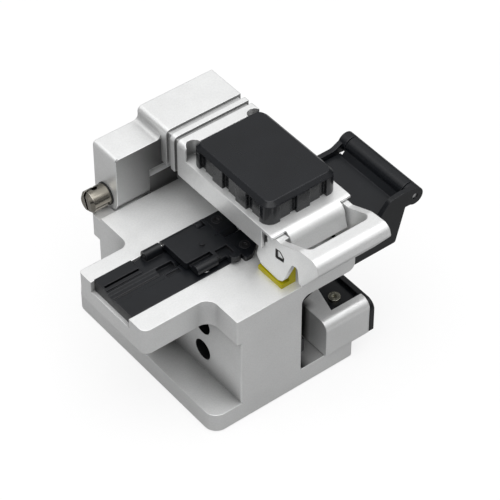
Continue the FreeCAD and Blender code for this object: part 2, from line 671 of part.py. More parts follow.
shelf = box("shelf", "wall_rear_left - 1", "deck_rear", "deck_top - shelf_drop",
            "shoulder_left - wall_rear_left + 1", "slab_rear - deck_rear + 1", "shelf_drop + 1")
channel = box("channel", "tongue_left - 1", "channel_front", "deck_top - channel_depth",
              "channel_right - tongue_left + 1", "channel_rear - channel_front",
              "channel_depth + 1")
blade_slot = box("blade_slot", "blade_plane - slot_width/2", "slot_front", "deck_top - roof_thick - 1",
                 "slot_width", "slot_rear - slot_front", "roof_thick + 2")
pockets = []
for index, side in enumerate(("clamp_left", "clamp_right")):
    pockets.append(box("clamp_pocket_%d" % index, side, "clamp_front", "deck_top - clamp_pocket",
                       "clamp_wide", "clamp_long", "clamp_pocket + 1"))
slab_cut = without("slab_cut", slab_open, trough, shelf, channel, blade_slot, *pockets)
ear_round = rod("ear_round", "X", "ear_left", "hinge_y", "hinge_z", "ear_radius",
                "ear_right - ear_left")
ear_web = box("ear_web", "ear_left", "deck_rear", "deck_top - slab_thick",
              "ear_right - ear_left", "hinge_y + 1 - deck_rear", "slab_thick")
ear_block = box("ear_block", "ear_left", "hinge_y - ear_front", "deck_top - slab_thick",
                "ear_right - ear_left", "ear_front", "hinge_z + ear_rise - deck_top + slab_thick")
casting = joined("casting", foot, wall, slab_cut, ear_round, ear_web, ear_block)

wall_holes = []
for index, height in enumerate(("low_hole_z", "high_hole_z")):
    wall_holes.append(rod("wall_hole_%d" % index, "X", "wall_left - 1", "wall_hole_y", height,
                          "wall_hole_radius", "wall_hole_depth + 1"))
    wall_holes.append(rod("wall_thread_%d" % index, "X", "wall_left + wall_hole_depth - 1",
                          "wall_hole_y", height, "wall_screw_radius + seat_gap",
                          "wall_screw_long + 1.2"))
ear_bore = rod("ear_bore", "X", "ear_left - 1", "hinge_y", "hinge_z", "pin_radius + seat_gap",
               "ear_right - ear_left + 2")
mat_recess = box("mat_recess_room", "foot_left + mat_margin", "mat_margin", "0",
                   "foot_right - foot_left - 2*mat_margin", "foot_rear - 2*mat_margin",
                   "mat_recess")
MAT_SPOTS = []
for spot_y in ("mat_margin + mat_screw_in", "foot_rear - mat_margin - mat_screw_in"):
    for spot_x in ("foot_left + mat_margin + mat_screw_in", "foot_right - mat_margin - mat_screw_in"):
        MAT_SPOTS.append((spot_x, spot_y))
mat_threads = []
for index, (spot_x, spot_y) in enumerate(MAT_SPOTS):
    mat_threads.append(rod("mat_thread_%d" % index, "Z", spot_x, spot_y, "0",
                             "small_shank + seat_gap",
                           "mat_screw_long + small_head_high + tip_gap"))
RAIL_SPOTS = ["rail_front + rail_screw_in", "(rail_front + rail_rear)/2",
              "rail_rear - rail_screw_in"]
rail_middle = "(rail_low + rail_high)/2"
rail_threads = []
for index, spot_y in enumerate(RAIL_SPOTS):
    rail_threads.append(rod("rail_thread_%d" % index, "X", "wall_inner - rail_screw_long", spot_y,
                            rail_middle, "small_shank + seat_gap", "rail_screw_long + 1"))
ADAPTER_SPOTS = [
    ("adapter_left + adapter_screw_one_x", "ledge_front + adapter_screw_one_y"),
    ("adapter_left + adapter_screw_two_x", "ledge_front - adapter_screw_two_y"),
]
adapter_threads = []
for index, (spot_x, spot_y) in enumerate(ADAPTER_SPOTS):
    adapter_threads.append(rod("adapter_thread_%d" % index, "Z", spot_x, spot_y,
                               "deck_top - channel_depth - adapter_screw_long", "small_shank + seat_gap",
                               "adapter_screw_long + 1"))
TRAY_SPOTS = ["tray_screw_front", "tray_screw_back"]
tray_screw_z = "tray_bottom + tray_floor + tray_screw_head + slide_gap"
tray_threads = []
for index, spot_y in enumerate(TRAY_SPOTS):
    tray_threads.append(rod("tray_thread_%d" % index, "X", "deck_right - tray_screw_long", spot_y,
                            tray_screw_z, "tray_screw_shank + seat_gap", "tray_screw_long + 1"))
keeper_x = "keeper_left + keeper_wide/2"
keeper_y = "(keeper_front + keeper_post_deep + keeper_rear)/2"
keeper_thread = rod("keeper_thread", "Z", keeper_x, keeper_y, "deck_top - keeper_screw_long",
                    "small_shank + seat_gap", "keeper_screw_long + 1")
GUIDE_SPOTS = ["guide_front + guide_screw_front", "guide_plate_rear - guide_screw_rear"]
guide_x = "(flap_right + side_gap + guide_right)/2"
guide_threads = []
for index, spot_y in enumerate(GUIDE_SPOTS):
    guide_threads.append(rod("guide_thread_%d" % index, "Z", guide_x, spot_y,
                             "deck_top - guide_screw_long", "small_shank + seat_gap",
                             "guide_screw_long + 1"))
base_body = without("base_body", casting, ear_bore, mat_recess, keeper_thread, *wall_holes,
                    *guide_threads,
                    *mat_threads, *rail_threads, *adapter_threads, *tray_threads)
keep(base_body, "base_body")

# Underside: a rubber mat let into the foot, with four screws sunk into it.
mat_plate = box("mat_plate", "foot_left + mat_margin + slide_gap", "mat_margin + slide_gap",
                "-mat_proud", "foot_right - foot_left - 2*mat_margin - 2*slide_gap",
                "foot_rear - 2*mat_margin - 2*slide_gap", "mat_recess + mat_proud")
mat_holes = []
mat_screws = []
for index, (spot_x, spot_y) in enumerate(MAT_SPOTS):
    mat_holes.append(rod("mat_hole_%d" % index, "Z", spot_x, spot_y, "-0.5",
                           "small_shank + seat_gap", "mat_recess + 1"))
    mat_holes.append(rod("mat_sink_%d" % index, "Z", spot_x, spot_y, "-0.5",
                           "small_head + seat_gap", "small_head_high + 0.5"))
    mat_screws.append(screw("mat_screw_%d" % index, "Z", spot_x, spot_y, "0", "small_head",
                              "small_head_high", "small_shank", "mat_screw_long", "small_socket"))
keep(without("rubber_mat", mat_plate, *mat_holes), "rubber_mat")
keep(group("mat_screws", *mat_screws), "mat_screws")

# Two screws deep in the wall holes.
wall_screws = []
for index, height in enumerate(("low_hole_z", "high_hole_z")):
    wall_screws.append(screw("wall_screw_%d" % index, "X",
                             "wall_left + wall_hole_depth - wall_screw_high", "wall_hole_y", height,
                             "wall_hole_radius - slide_gap", "wall_screw_high",
                             "wall_screw_radius", "wall_screw_long", "hex_size"))
keep(group("wall_screws", *wall_screws), "wall_screws")

# Slide rail on the inner side of the wall.
rail_bar = box("rail_bar", "wall_inner", "rail_front", "rail_low", "rail_thick",
               "rail_rear - rail_front", "rail_high - rail_low")
rail_holes = []
rail_screws = []
for index, spot_y in enumerate(RAIL_SPOTS):
    rail_holes.append(rod("rail_hole_%d" % index, "X", "wall_inner - 1", spot_y, rail_middle,
                          "small_shank + seat_gap", "rail_thick + 2"))
    rail_holes.append(rod("rail_sink_%d" % index, "X", "wall_inner + rail_thick - small_head_high",
                          spot_y, rail_middle, "small_head + seat_gap", "small_head_high + 1"))
    rail_screws.append(screw("rail_screw_%d" % index, "-X", "wall_inner + rail_thick", spot_y,
                             rail_middle, "small_head", "small_head_high", "small_shank",
                             "rail_thick - small_head_high + rail_screw_long - tip_gap", "small_socket"))
keep(without("slide_rail", rail_bar, *rail_holes), "slide_rail")
keep(group("rail_screws", *rail_screws), "rail_screws")

# Fibre adapter: a black block in the channel, with the lugs of the flap hinge.
adapter_top = "deck_top + adapter_proud"
adapter_low = "deck_top - channel_depth"
top_z = val.deck_top + val.adapter_proud
adapter_core = box("adapter_core", "adapter_left", "channel_front + slide_gap", adapter_low,
                   "channel_right - slide_gap - adapter_left",
                   "channel_rear - channel_front - 2*slide_gap", "channel_depth + adapter_proud")
adapter_ledge = box("adapter_ledge", "adapter_left", "ledge_front", adapter_top,
                    "ledge_right - adapter_left", "channel_rear - slide_gap - ledge_front",
                    "ledge_high")
adapter_raw = joined("adapter_raw", adapter_core, adapter_ledge)
groove_low = top_z - val.groove_deep
groove_front = val.groove_middle - val.groove_wide / 2
groove_rear = val.groove_middle + val.groove_wide / 2
wide_groove = prism("wide_groove", "X", [
    (groove_front, top_z),
    (groove_front + val.groove_flank / 2, groove_low),
    (groove_rear - val.groove_flank, groove_low),
    (groove_rear, top_z),
    (groove_rear, top_z + 1),
    (groove_front, top_z + 1),
], "adapter_left - 1", "rest_left - adapter_left + 1.5")
fibre_groove = prism("fibre_groove", "X", [
    (val.fibre_y - 3 * val.groove_size, groove_low + 2 * val.groove_size),
    (val.fibre_y, groove_low - val.groove_size),
    (val.fibre_y + 3 * val.groove_size, groove_low + 2 * val.groove_size),
], "adapter_left - 1", "channel_right - adapter_left + 2")
line_groove = prism("line_groove", "X", [
    (val.fibre_y - 2 * val.groove_size, top_z + 0.5),
    (val.fibre_y - val.groove_size, groove_low),
    (val.fibre_y + val.groove_size, groove_low),
    (val.fibre_y + 2 * val.groove_size, top_z + 0.5),
], "rest_left", "channel_right - rest_left + 1")
shallow_step = box("shallow_step", "adapter_left - 1", "step_front",
                   "deck_top + adapter_proud - step_deep", "rest_left - adapter_left + 1",
                   "groove_middle - step_front", "step_deep + 1")
rest_room = box("rest_room", "rest_left", "rest_front", "deck_top + adapter_proud - rest_deep",
                "rest_right - rest_left", "rest_rear - rest_front", "rest_deep + 1")
back_room = box("back_room", "ledge_right", "channel_rear - ledge_back",
                "deck_top + adapter_proud - ledge_back_deep", "lug_left - ledge_right",
                "ledge_back + 1", "ledge_back_deep + 2")
relief = box("adapter_relief", "adapter_left + relief_in", "ledge_front + relief_back",
             "deck_top + adapter_proud + ledge_high - relief_deep", "relief_long", "relief_wide",
             "relief_deep + 1")
stop_mark = box("adapter_mark", "mark_left", "mark_front",
                "deck_top + adapter_proud - mark_deep", "mark_long", "mark_wide", "mark_deep + 1")
barrel_room = box("barrel_room", "flap_left - side_gap", "flap_pin_y - flap_barrel - side_gap",
                  "flap_pin_z - flap_barrel - side_gap",
                  "channel_right - flap_left + side_gap + 1",
                  "channel_rear + 1 - flap_pin_y + flap_barrel + side_gap", "4")
lug_solids = []
for name, low, high in (("outer_lug", "lug_left", "lug_right"),
                        ("inner_lug", "inner_lug_left", "inner_lug_right")):
    lug_solids.append(rod(name + "_round", "X", low, "flap_pin_y", "flap_pin_z", "flap_barrel",
                          "%s - %s" % (high, low)))
    lug_solids.append(box(name + "_foot", low, "flap_pin_y - flap_barrel", "deck_top - 0.8",
                          "%s - %s" % (high, low), "2*flap_barrel", "flap_pin_z - deck_top + 0.8"))
adapter_shape = without("adapter_shape", adapter_raw, wide_groove, fibre_groove, line_groove,
                        shallow_step, rest_room, back_room, relief, stop_mark, barrel_room)
adapter_lugged = joined("adapter_lugged", adapter_shape, *lug_solids)
flap_pin_hole = rod("flap_pin_hole", "X", "lug_left - 1", "flap_pin_y", "flap_pin_z",
                    "flap_pin_radius + seat_gap", "inner_lug_right - lug_left + 2")
MAGNET_X = "magnet_x"
MAGNET_Y = "magnet_y"
magnet_room = rod("magnet_room", "Z", MAGNET_X, MAGNET_Y, "deck_top + adapter_proud - magnet_thick",
                  "magnet_radius + seat_gap", "magnet_thick + 1")
adapter_holes = []
adapter_screws = []
for index, (spot_x, spot_y) in enumerate(ADAPTER_SPOTS):
    adapter_holes.append(rod("adapter_hole_%d" % index, "Z", spot_x, spot_y,
                             "deck_top - channel_depth - 1", "small_shank + seat_gap",
                             "channel_depth + 1"))
    adapter_holes.append(rod("adapter_sink_%d" % index, "Z", spot_x, spot_y,
                             "deck_top + adapter_proud - adapter_screw_sink - small_head_high",
                             "small_head + seat_gap", "small_head_high + adapter_screw_sink + 1"))
    adapter_screws.append(screw("adapter_screw_%d" % index, "-Z", spot_x, spot_y,
                                "deck_top + adapter_proud - adapter_screw_sink", "small_head",
                                "small_head_high", "small_shank",
                                "channel_depth + adapter_proud - adapter_screw_sink"
                                " - small_head_high + adapter_screw_long - tip_gap", "small_socket"))
keep(without("fibre_adapter", adapter_lugged, flap_pin_hole, magnet_room, *adapter_holes),
     "fibre_adapter")
keep(group("adapter_screws", *adapter_screws), "adapter_screws")
keep(rod("adapter_magnet", "Z", MAGNET_X, MAGNET_Y, "deck_top + adapter_proud - magnet_thick",
         "magnet_radius", "magnet_thick"), "adapter_magnet")
keep(rod("flap_pin", "X", "lug_left + 0.2", "flap_pin_y", "flap_pin_z", "flap_pin_radius",
         "inner_lug_right - lug_left - 0.4"), "flap_pin")

# Flap: the hinged plate that holds the fibre down on the adapter.
flap_low = "deck_top + adapter_proud + flap_lift"
flap_z = val.deck_top + val.adapter_proud + val.flap_lift
flap_plate = prism("flap_plate", "Z", [
    (val.flap_left, val.flap_front, val.fine_radius),
    (val.flap_step, val.flap_front),
    (val.flap_step, val.flap_step_front, val.fine_radius),
    (val.tab_left, val.flap_step_front),
    (val.tab_left, val.tab_front, val.tab_radius),
    (val.flap_right, val.tab_front, val.tab_radius),
    (val.flap_right, val.flap_pin_y),
    (val.flap_left, val.flap_pin_y),
], flap_low, "flap_thick")
flap_tube = rod("flap_tube", "X", "flap_left", "flap_pin_y", "flap_pin_z", "flap_barrel",
                "flap_right - flap_left")
roll_round = (val.flap_roll_rear - val.flap_roll_front) * 0.47
flap_roll = prism("flap_roll", "X", [
    (val.flap_roll_front, flap_z, val.fine_radius),
    (val.flap_roll_front, flap_z + val.flap_roll_high, roll_round),
    (val.flap_roll_rear, flap_z + val.flap_roll_high, roll_round),
    (val.flap_roll_rear, flap_z),
], "flap_roll_left", "flap_step - flap_roll_left")
flap_bridge = box("flap_bridge_plate", "flap_roll_left", "(flap_roll_front + flap_roll_rear)/2",
                  flap_low, "flap_step - flap_roll_left + 0.5",
                  "flap_front + 0.5 - (flap_roll_front + flap_roll_rear)/2", "flap_bridge")
flap_nub = rod("flap_nub", "Z", "flap_left + flap_nub_x", "flap_front + flap_nub_y",
               flap_low + " + flap_thick - 0.3", "flap_nub_radius", "0.3 + flap_nub_high")
flap_raw = joined("flap_raw", flap_plate, flap_tube, flap_roll, flap_bridge, flap_nub)
flap_notch = box("flap_notch", "inner_lug_left - side_gap", "flap_pin_y - flap_barrel - side_gap - 0.2",
                 "deck_top - 1", "inner_lug_right - inner_lug_left + 2*side_gap", "6", "6")
flap_dent = box("flap_dent", "flap_dent_left", "flap_step_front - 1",
                flap_low + " + flap_thick - flap_dent_deep", "flap_dent_right - flap_dent_left",
                "flap_dent_rear - flap_step_front + 1", "flap_dent_deep + 1")
flap_bore = rod("flap_bore", "X", "flap_left - 1", "flap_pin_y", "flap_pin_z",
                "flap_pin_radius + run_gap", "flap_right - flap_left + 2")
flap_magnet_room = rod("flap_magnet_room", "Z", MAGNET_X, MAGNET_Y, flap_low + " - 1",
                       "magnet_radius + seat_gap", "1 + flap_magnet_high")
keep(without("flap", flap_raw, flap_notch, flap_dent, flap_bore, flap_magnet_room), "flap")
keep(rod("flap_magnet", "Z", MAGNET_X, MAGNET_Y, flap_low, "magnet_radius", "flap_magnet_high"),
     "flap_magnet")
keep(box("flap_rubber", "flap_left + 2.6", "fibre_y - rubber_pad_wide/2", flap_low + " - rubber_pad_thick",
         "rubber_pad_long", "rubber_pad_wide", "rubber_pad_thick"), "flap_rubber")

# Fibre guide: a thin plate with a groove between the flap and the clamps.
guide_plate = prism("guide_plate", "Z", [
    (val.flap_right + val.side_gap, val.guide_front, val.fine_radius),
    (val.guide_right - val.guide_slant_x, val.guide_front, val.guide_corner),
    (val.guide_right, val.guide_front + val.guide_slant_y, val.guide_corner),
    (val.guide_right, val.guide_plate_rear, val.fine_radius),
    (val.flap_right + val.side_gap, val.guide_plate_rear, val.fine_radius),
], "deck_top", "guide_thick")
guide_z = val.deck_top + val.guide_thick
guide_cuts = [prism("guide_v", "X", [
    (val.fibre_y - val.guide_groove, guide_z),
    (val.fibre_y, val.clamp_pad_top),
    (val.fibre_y + val.guide_groove, guide_z),
    (val.fibre_y + val.guide_groove, guide_z + 1),
    (val.fibre_y - val.guide_groove, guide_z + 1),
], "flap_right", "guide_right - flap_right + 1")]
guide_screws = []
for index, spot_y in enumerate(GUIDE_SPOTS):
    guide_cuts.append(rod("guide_hole_%d" % index, "Z", guide_x, spot_y, "deck_top - 1",
                          "small_shank + seat_gap", "guide_thick + 2"))
    guide_cuts.append(rod("guide_sink_%d" % index, "Z", guide_x, spot_y,
                          "deck_top + guide_thick - small_head_high", "small_head + seat_gap",
                          "small_head_high + 1"))
    guide_screws.append(screw("guide_screw_%d" % index, "-Z", guide_x, spot_y,
                              "deck_top + guide_thick", "small_head", "small_head_high",
                              "small_shank",
                              "guide_thick - small_head_high + guide_screw_long - tip_gap",
                              "small_socket"))
keep(without("fibre_guide", guide_plate, *guide_cuts), "fibre_guide")
keep(group("guide_screws", *guide_screws), "guide_screws")

# Lower clamps: two rubber pads in the deck, on both sides of the blade slot.
lower_clamps = []
for index, side in enumerate(("clamp_left", "clamp_right")):
    lower_clamps.append(box("lower_clamp_%d" % index, side + " + slide_gap", "clamp_front + slide_gap",
                            "deck_top - clamp_pocket", "clamp_wide - 2*slide_gap",
                            "clamp_long - 2*slide_gap", "clamp_pad_top - deck_top + clamp_pocket"))
keep(group("lower_clamps", *lower_clamps), "lower_clamps")

# Keeper: the coloured stop on the deck, below the catch.
keeper_base = box("keeper_base", "keeper_left", "keeper_front", "deck_top", "keeper_wide",
                  "keeper_rear - keeper_front", "keeper_thick")
keeper_column = prism("keeper_column", "Y", [
    (val.keeper_left + val.keeper_wide - val.keeper_post_wide, val.deck_top),
    (val.keeper_left + val.keeper_wide, val.deck_top),
    (val.keeper_left + val.keeper_wide, val.deck_top + val.keeper_post, val.fine_radius),
    (val.keeper_left + val.keeper_wide - val.keeper_post_wide, val.deck_top + val.keeper_post,
     val.fine_radius),
], "keeper_front", "keeper_post_deep")
keeper_raw = joined("keeper_raw", keeper_base, keeper_column)
keeper_hole = rod("keeper_hole", "Z", keeper_x, keeper_y, "deck_top - 1", "small_shank + seat_gap",
                  "keeper_thick + 2")
keeper_sink = rod("keeper_sink", "Z", keeper_x, keeper_y,
                  "deck_top + keeper_thick - small_head_high", "small_head + seat_gap",
                  "small_head_high + 1")
keep(without("keeper", keeper_raw, keeper_hole, keeper_sink), "keeper")
keep(screw("keeper_screw", "-Z", keeper_x, keeper_y, "deck_top + keeper_thick", "small_head",
           "small_head_high", "small_shank",
           "keeper_thick - small_head_high + keeper_screw_long - tip_gap", "small_socket"),
     "keeper_screw")

# Hinge pin with its slotted head and a thin washer.
head_inner = "shoulder_left - run_gap - washer_thick"
keep(rod("hinge_pin", "X", head_inner + " - pin_in_head", "hinge_y", "hinge_z", "pin_radius",
         "block_right - 0.2 - shoulder_left + run_gap + washer_thick + pin_in_head"), "hinge_pin")
head_round = rod("head_round", "X", "knob_left + knob_bevel", "hinge_y", "hinge_z", "knob_radius",
                 head_inner + " - knob_left - knob_bevel")
head_cone = cone("head_cone", "X", "knob_left", "hinge_y", "hinge_z", "knob_radius - knob_bevel",
                 "knob_radius", "knob_bevel")
head_raw = joined("head_raw", head_round, head_cone)
turn = math.radians(val.knob_turn)
slot_way = (math.sin(turn), math.cos(turn))
slot_points = []
for along, across in ((-2, -0.5), (2, -0.5), (2, 0.5), (-2, 0.5)):
    along = along * val.knob_radius
    across = across * val.knob_slot
    slot_points.append((val.hinge_y + along * slot_way[0] + across * slot_way[1],
                        val.hinge_z + along * slot_way[1] - across * slot_way[0]))
head_slot = prism("head_slot", "X", slot_points, "knob_left - 1", "1 + knob_slot_deep")
head_hole = rod("head_hole", "Z", "knob_left + knob_hole_in",
                "hinge_y - 2*knob_radius*sin(knob_turn*1 deg)",
                "hinge_z - 2*knob_radius*cos(knob_turn*1 deg)", "knob_hole", "4*knob_radius")
head_hole.Placement = Placement(head_hole.Placement.Base, Rotation(Vector(1, 0, 0), -val.knob_turn))
head_bore = rod("head_bore", "X", head_inner + " - pin_in_head - 0.1", "hinge_y", "hinge_z",
                "pin_radius + seat_gap", "pin_in_head + 1")
keep(without("pin_knob", head_raw, head_slot, head_hole, head_bore), "pin_knob")
washer_disc = rod("washer_disc", "X", head_inner, "hinge_y", "hinge_z", "knob_radius + 0.15",
                  "washer_thick")
washer_bore = rod("washer_bore", "X", head_inner + " - 1", "hinge_y", "hinge_z",
                  "pin_radius + seat_gap", "washer_thick + 2")
keep(without("pin_washer", washer_disc, washer_bore), "pin_washer")

# Scrap collector: an open tray on the right side of the deck.
tray_left = val.deck_right
slope = val.tray_slant_out / val.tray_slant_high
front_wall = prism("tray_front", "Y", [
    (tray_left, val.tray_bottom),
    (val.tray_right, val.tray_bottom, val.edge_radius),
    (val.tray_right + val.tray_slant_out, val.tray_bottom + val.tray_slant_high),
    (val.lid_pin_x, val.lid_pin_z - 2),
    (val.lid_pin_x, val.lid_pin_z + val.lid_barrel),
    (val.lid_pin_x - 3.8, val.lid_pin_z + 2.9),
    (val.lid_pin_x - 7.4, val.lid_pin_z + 2.6, 2),
    (val.lid_pin_x - val.web_foot_in, val.lid_pin_z + val.web_foot_rise),
    (tray_left + 5.0, val.deck_top + 4.5, 3),
    (tray_left + 2.7, val.deck_top + 0.6),
    (tray_left, val.deck_top),
], "0", "tray_wall")
rear_wall = prism("tray_rear_wall", "Y", [
    (tray_left, val.tray_bottom),
    (val.tray_right, val.tray_bottom, val.edge_radius),
    (val.tray_right + val.tray_slant_out, val.tray_bottom + val.tray_slant_high),
    (val.lid_pin_x, val.lid_pin_z - 2),
    (val.lid_pin_x + 1.1, val.lid_pin_z + 2.1),
    (val.lid_pin_x - 1.3, val.lid_pin_z + 1.4, 1.5),
    (val.lid_pin_x - 4.6, val.lid_pin_z - 0.3, 3),
    (tray_left + 4.0, val.lid_pin_z - 0.3, 0.6),
    (tray_left + 2.8, val.lid_pin_z - 4, 1),
    (tray_left, val.deck_top),
], "tray_rear - tray_wall", "tray_wall")
front_lug = rod("front_lug", "Y", "lid_pin_x", "0", "lid_pin_z", "lid_barrel", "lug_thick")
rear_lug = rod("rear_lug", "Y", "lid_pin_x", "tray_rear - lug_thick", "lid_pin_z", "lid_barrel",
               "lug_thick")
tray_floor = box("tray_floor", "deck_right", "0", "tray_bottom",
                 "tray_right - deck_right - edge_radius/2", "tray_rear", "tray_floor")
tray_side = box("tray_side", "deck_right", "0", "tray_bottom", "tray_wall", "tray_rear",
                "deck_top - tray_bottom")
tray_slant = prism("tray_slant", "Y", [
    (val.tray_right - val.tray_wall, val.tray_bottom),
    (val.tray_right, val.tray_bottom, 0.6),
    (val.tray_right + val.tray_slant_top * slope, val.tray_bottom + val.tray_slant_top),
    (val.tray_right + val.tray_slant_top * slope - val.tray_wall,
     val.tray_bottom + val.tray_slant_top),
], "0", "tray_rear")
tray_raw = joined("tray_raw", front_wall, rear_wall, front_lug, rear_lug, tray_floor, tray_side,
                  tray_slant)
lid_pin_hole = rod("lid_pin_hole", "Y", "lid_pin_x", "-1", "lid_pin_z", "lid_pin_radius + seat_gap",
                   "tray_rear + 2")
tray_holes = []
tray_screws = []
for index, spot_y in enumerate(TRAY_SPOTS):
    tray_holes.append(rod("tray_hole_%d" % index, "X", "deck_right - 1", spot_y, tray_screw_z,
                          "tray_screw_shank + seat_gap", "tray_wall + 2"))
    tray_screws.append(screw("tray_screw_%d" % index, "-X",
                             "deck_right + tray_wall + tray_head_high", spot_y,
                             tray_screw_z, "tray_screw_head", "tray_head_high", "tray_screw_shank",
                             "tray_wall + tray_screw_long - tip_gap", "tray_screw_head/2"))
keep(without("collector_tray", tray_raw, lid_pin_hole, *tray_holes), "collector_tray")
keep(group("collector_screws", *tray_screws), "collector_screws")
keep(rod("lid_pin", "Y", "lid_pin_x", "0.3", "lid_pin_z", "lid_pin_radius", "tray_rear - 0.6"),
     "lid_pin")

# Collector lid: a plate between the tray walls on a long barrel.
lid_plate = box("lid_plate", "lid_left", "tray_wall + side_gap", "lid_low",
                "lid_pin_x - lid_edge - lid_left", "tray_rear - 2*tray_wall - 2*side_gap", "lid_thick")
lid_tube = rod("lid_tube", "Y", "lid_pin_x", "lug_thick + side_gap", "lid_pin_z", "lid_barrel",
               "tray_rear - 2*lug_thick - 2*side_gap")
lid_link = prism("lid_link", "Y", [
    (val.lid_pin_x - val.lid_link_out, val.lid_low),
    (val.lid_pin_x - val.lid_link_in, val.lid_low),
    (val.lid_pin_x, val.lid_pin_z),
    (val.lid_pin_x - val.lid_link_in, val.lid_pin_z + 0.6),
    (val.lid_pin_x - val.lid_link_out, val.lid_low + val.lid_thick),
], "lug_thick + side_gap", "tray_rear - 2*lug_thick - 2*side_gap")
lid_raw = joined("lid_raw", lid_plate, lid_tube, lid_link)
lid_bore = rod("lid_bore", "Y", "lid_pin_x", "0", "lid_pin_z", "lid_pin_radius + run_gap",
               "tray_rear")
keep(without("collector_lid", lid_raw, lid_bore), "collector_lid")

# Lever: a long arm over the deck and a heavy block on the hinge.
arm_bar = box("arm_bar", "arm_left", "lip_y", "arm_bottom", "arm_right - arm_left",
              "block_front + 2 - lip_y", "arm_top - arm_bottom")
arm_lip = rod("arm_lip", "X", "arm_left", "lip_y", "catch_pivot_z", "lip_radius",
              "arm_right - arm_left")
block = box("block", "arm_left", "block_front", "arm_bottom", "block_right - arm_left",
            "hinge_y + knuckle_radius - block_front", "block_top - arm_bottom")
block_round = rounded("block_round", block, val.block_edge,
                      edge_at(Vector(0, 1, 0), x=val.arm_left, z=val.block_top))
shoulder = prism("shoulder", "Y", [
    (val.shoulder_left, val.hinge_z),
    (val.shoulder_left, val.shoulder_top, val.edge_radius),
    (val.arm_left, val.shoulder_top, val.shoulder_hollow),
    (val.arm_left, val.block_top - val.block_edge),
    (val.block_right, val.block_top - val.block_edge),
    (val.block_right, val.hinge_z),
], "hinge_y - knuckle_radius", "2*knuckle_radius")
knuckle = rod("knuckle", "X", "shoulder_left", "hinge_y", "hinge_z", "knuckle_radius",
              "block_right - shoulder_left")
apron_top = val.catch_pivot_z + val.lip_radius - val.apron_drop
apron = prism("apron", "X", [
    (val.lip_y, apron_top),
    (val.lip_y - val.apron_top_out, apron_top),
    (val.lip_y - val.apron_low_out, val.arm_bottom),
    (val.lip_y, val.arm_bottom),
], "arm_left", "arm_right - arm_left")
lever_raw = joined("lever_raw", arm_bar, arm_lip, apron, block_round, shoulder, knuckle)

lever_cuts = [
    box("ear_room", "notch_left", "hinge_y - 5.6", "hinge_z - 6", "notch_right - notch_left",
        "12", "notch_top - hinge_z + 6"),
    rod("lever_bore", "X", "shoulder_left - 1", "hinge_y", "hinge_z", "pin_radius + run_gap",
        "block_right - shoulder_left + 2"),
]
for index, (groove_y, groove_width) in enumerate((("groove_one_y", "groove_one_width"),
                                                  ("groove_two_y", "groove_two_width"))):
    lever_cuts.append(box("groove_top_%d" % index, "arm_left - 1", groove_y,
                          "block_top - groove_depth", "block_right - arm_left + 2", groove_width,
                          "groove_depth + 1"))
    lever_cuts.append(box("groove_left_%d" % index, "arm_left - 1", groove_y, "arm_bottom - 1",
                          "1 + groove_depth", groove_width, "block_top - arm_bottom + 2"))
    lever_cuts.append(box("groove_right_%d" % index, "block_right - groove_depth", groove_y,
                          "arm_bottom - 1", "1 + groove_depth", groove_width,
                          "block_top - arm_bottom + 2"))
for index, spot_x in enumerate(("arm_left + half_round_left", "block_right - half_round_right")):
    lever_cuts.append(rod("half_round_%d" % index, "Z", spot_x, "block_front - 0.3", "arm_top",
                          "half_round_radius", "block_top - arm_top + 1"))

# Rooms for the catch: a pocket for each knuckle and a slot for each side plate.
pocket_low = "arm_bottom - 1"
left_pocket = ("arm_left - 1", "catch_left + catch_knuckle_wide + side_gap - arm_left + 1")
right_pocket = ("catch_right - catch_knuckle_right - side_gap",
                "arm_right - catch_right + catch_knuckle_right + side_gap + 1")
for index, (low_x, long_x) in enumerate((left_pocket, right_pocket)):
    lever_cuts.append(box("knuckle_room_%d" % index, low_x, "lip_y - apron_low_out - 1", pocket_low,
                          long_x, "apron_low_out + 1 + catch_knuckle + 0.8",
                          "catch_pivot_z + catch_knuckle + side_gap - arm_bottom + 1"))
    lever_cuts.append(box("knuckle_open_%d" % index, low_x, "lip_y - apron_low_out - 1", pocket_low,
                          long_x, "apron_low_out", "arm_top - arm_bottom + 2"))
slot_left = ("catch_left - side_gap", "cheek_thick + 2*side_gap")
slot_right = ("catch_right - cheek_thick - side_gap",
              "arm_right - catch_right + cheek_thick + side_gap + 1")
for index, (low_x, long_x) in enumerate((slot_left, slot_right)):
    lever_cuts.append(box("plate_room_%d" % index, low_x, "lip_y - 2", pocket_low, long_x,
                          "12", "catch_pivot_z + 0.5 - arm_bottom + 1"))
lever_cuts.append(rod("catch_pin_hole", "X", "catch_left", "lip_y", "catch_pivot_z",
                      "catch_pin_radius + seat_gap", "catch_right - catch_left"))
PAD_SPOTS = ["pad_front + pad_screw_front", "pad_rear - pad_screw_rear"]
pad_middle = "(pad_left + pad_right)/2"
pad_screws = []
for index, spot_y in enumerate(PAD_SPOTS):
    lever_cuts.append(rod("pad_sink_%d" % index, "Z", pad_middle, spot_y, "arm_bottom - 1",
                          "pad_screw_head + seat_gap", "1 + pad_screw_high"))
    lever_cuts.append(rod("pad_thread_%d" % index, "Z", pad_middle, spot_y, "arm_bottom",
                          "pad_screw_shank + seat_gap", "arm_top - arm_bottom + 1"))
    pad_screws.append(screw("pad_screw_%d" % index, "Z", pad_middle, spot_y, "arm_bottom",
                            "pad_screw_head", "pad_screw_high", "pad_screw_shank",
                            "arm_top - arm_bottom - pad_screw_high + pad_screw_grip",
                            "pad_screw_head*0.5"))
HOLDER_SPOTS = []
for spot_y in ("holder_front + holder_inset_y", "holder_rear - holder_inset_y"):
    for spot_x in ("holder_left + holder_inset_x", "holder_right - holder_inset_x"):
        HOLDER_SPOTS.append((spot_x, spot_y))
for index, (spot_x, spot_y) in enumerate(HOLDER_SPOTS):
    lever_cuts.append(rod("holder_thread_%d" % index, "Z", spot_x, spot_y, "arm_bottom - 1",
                          "small_shank + seat_gap", "1 + holder_screw_long"))
keep(without("lever_body", lever_raw, *lever_cuts), "lever_body")

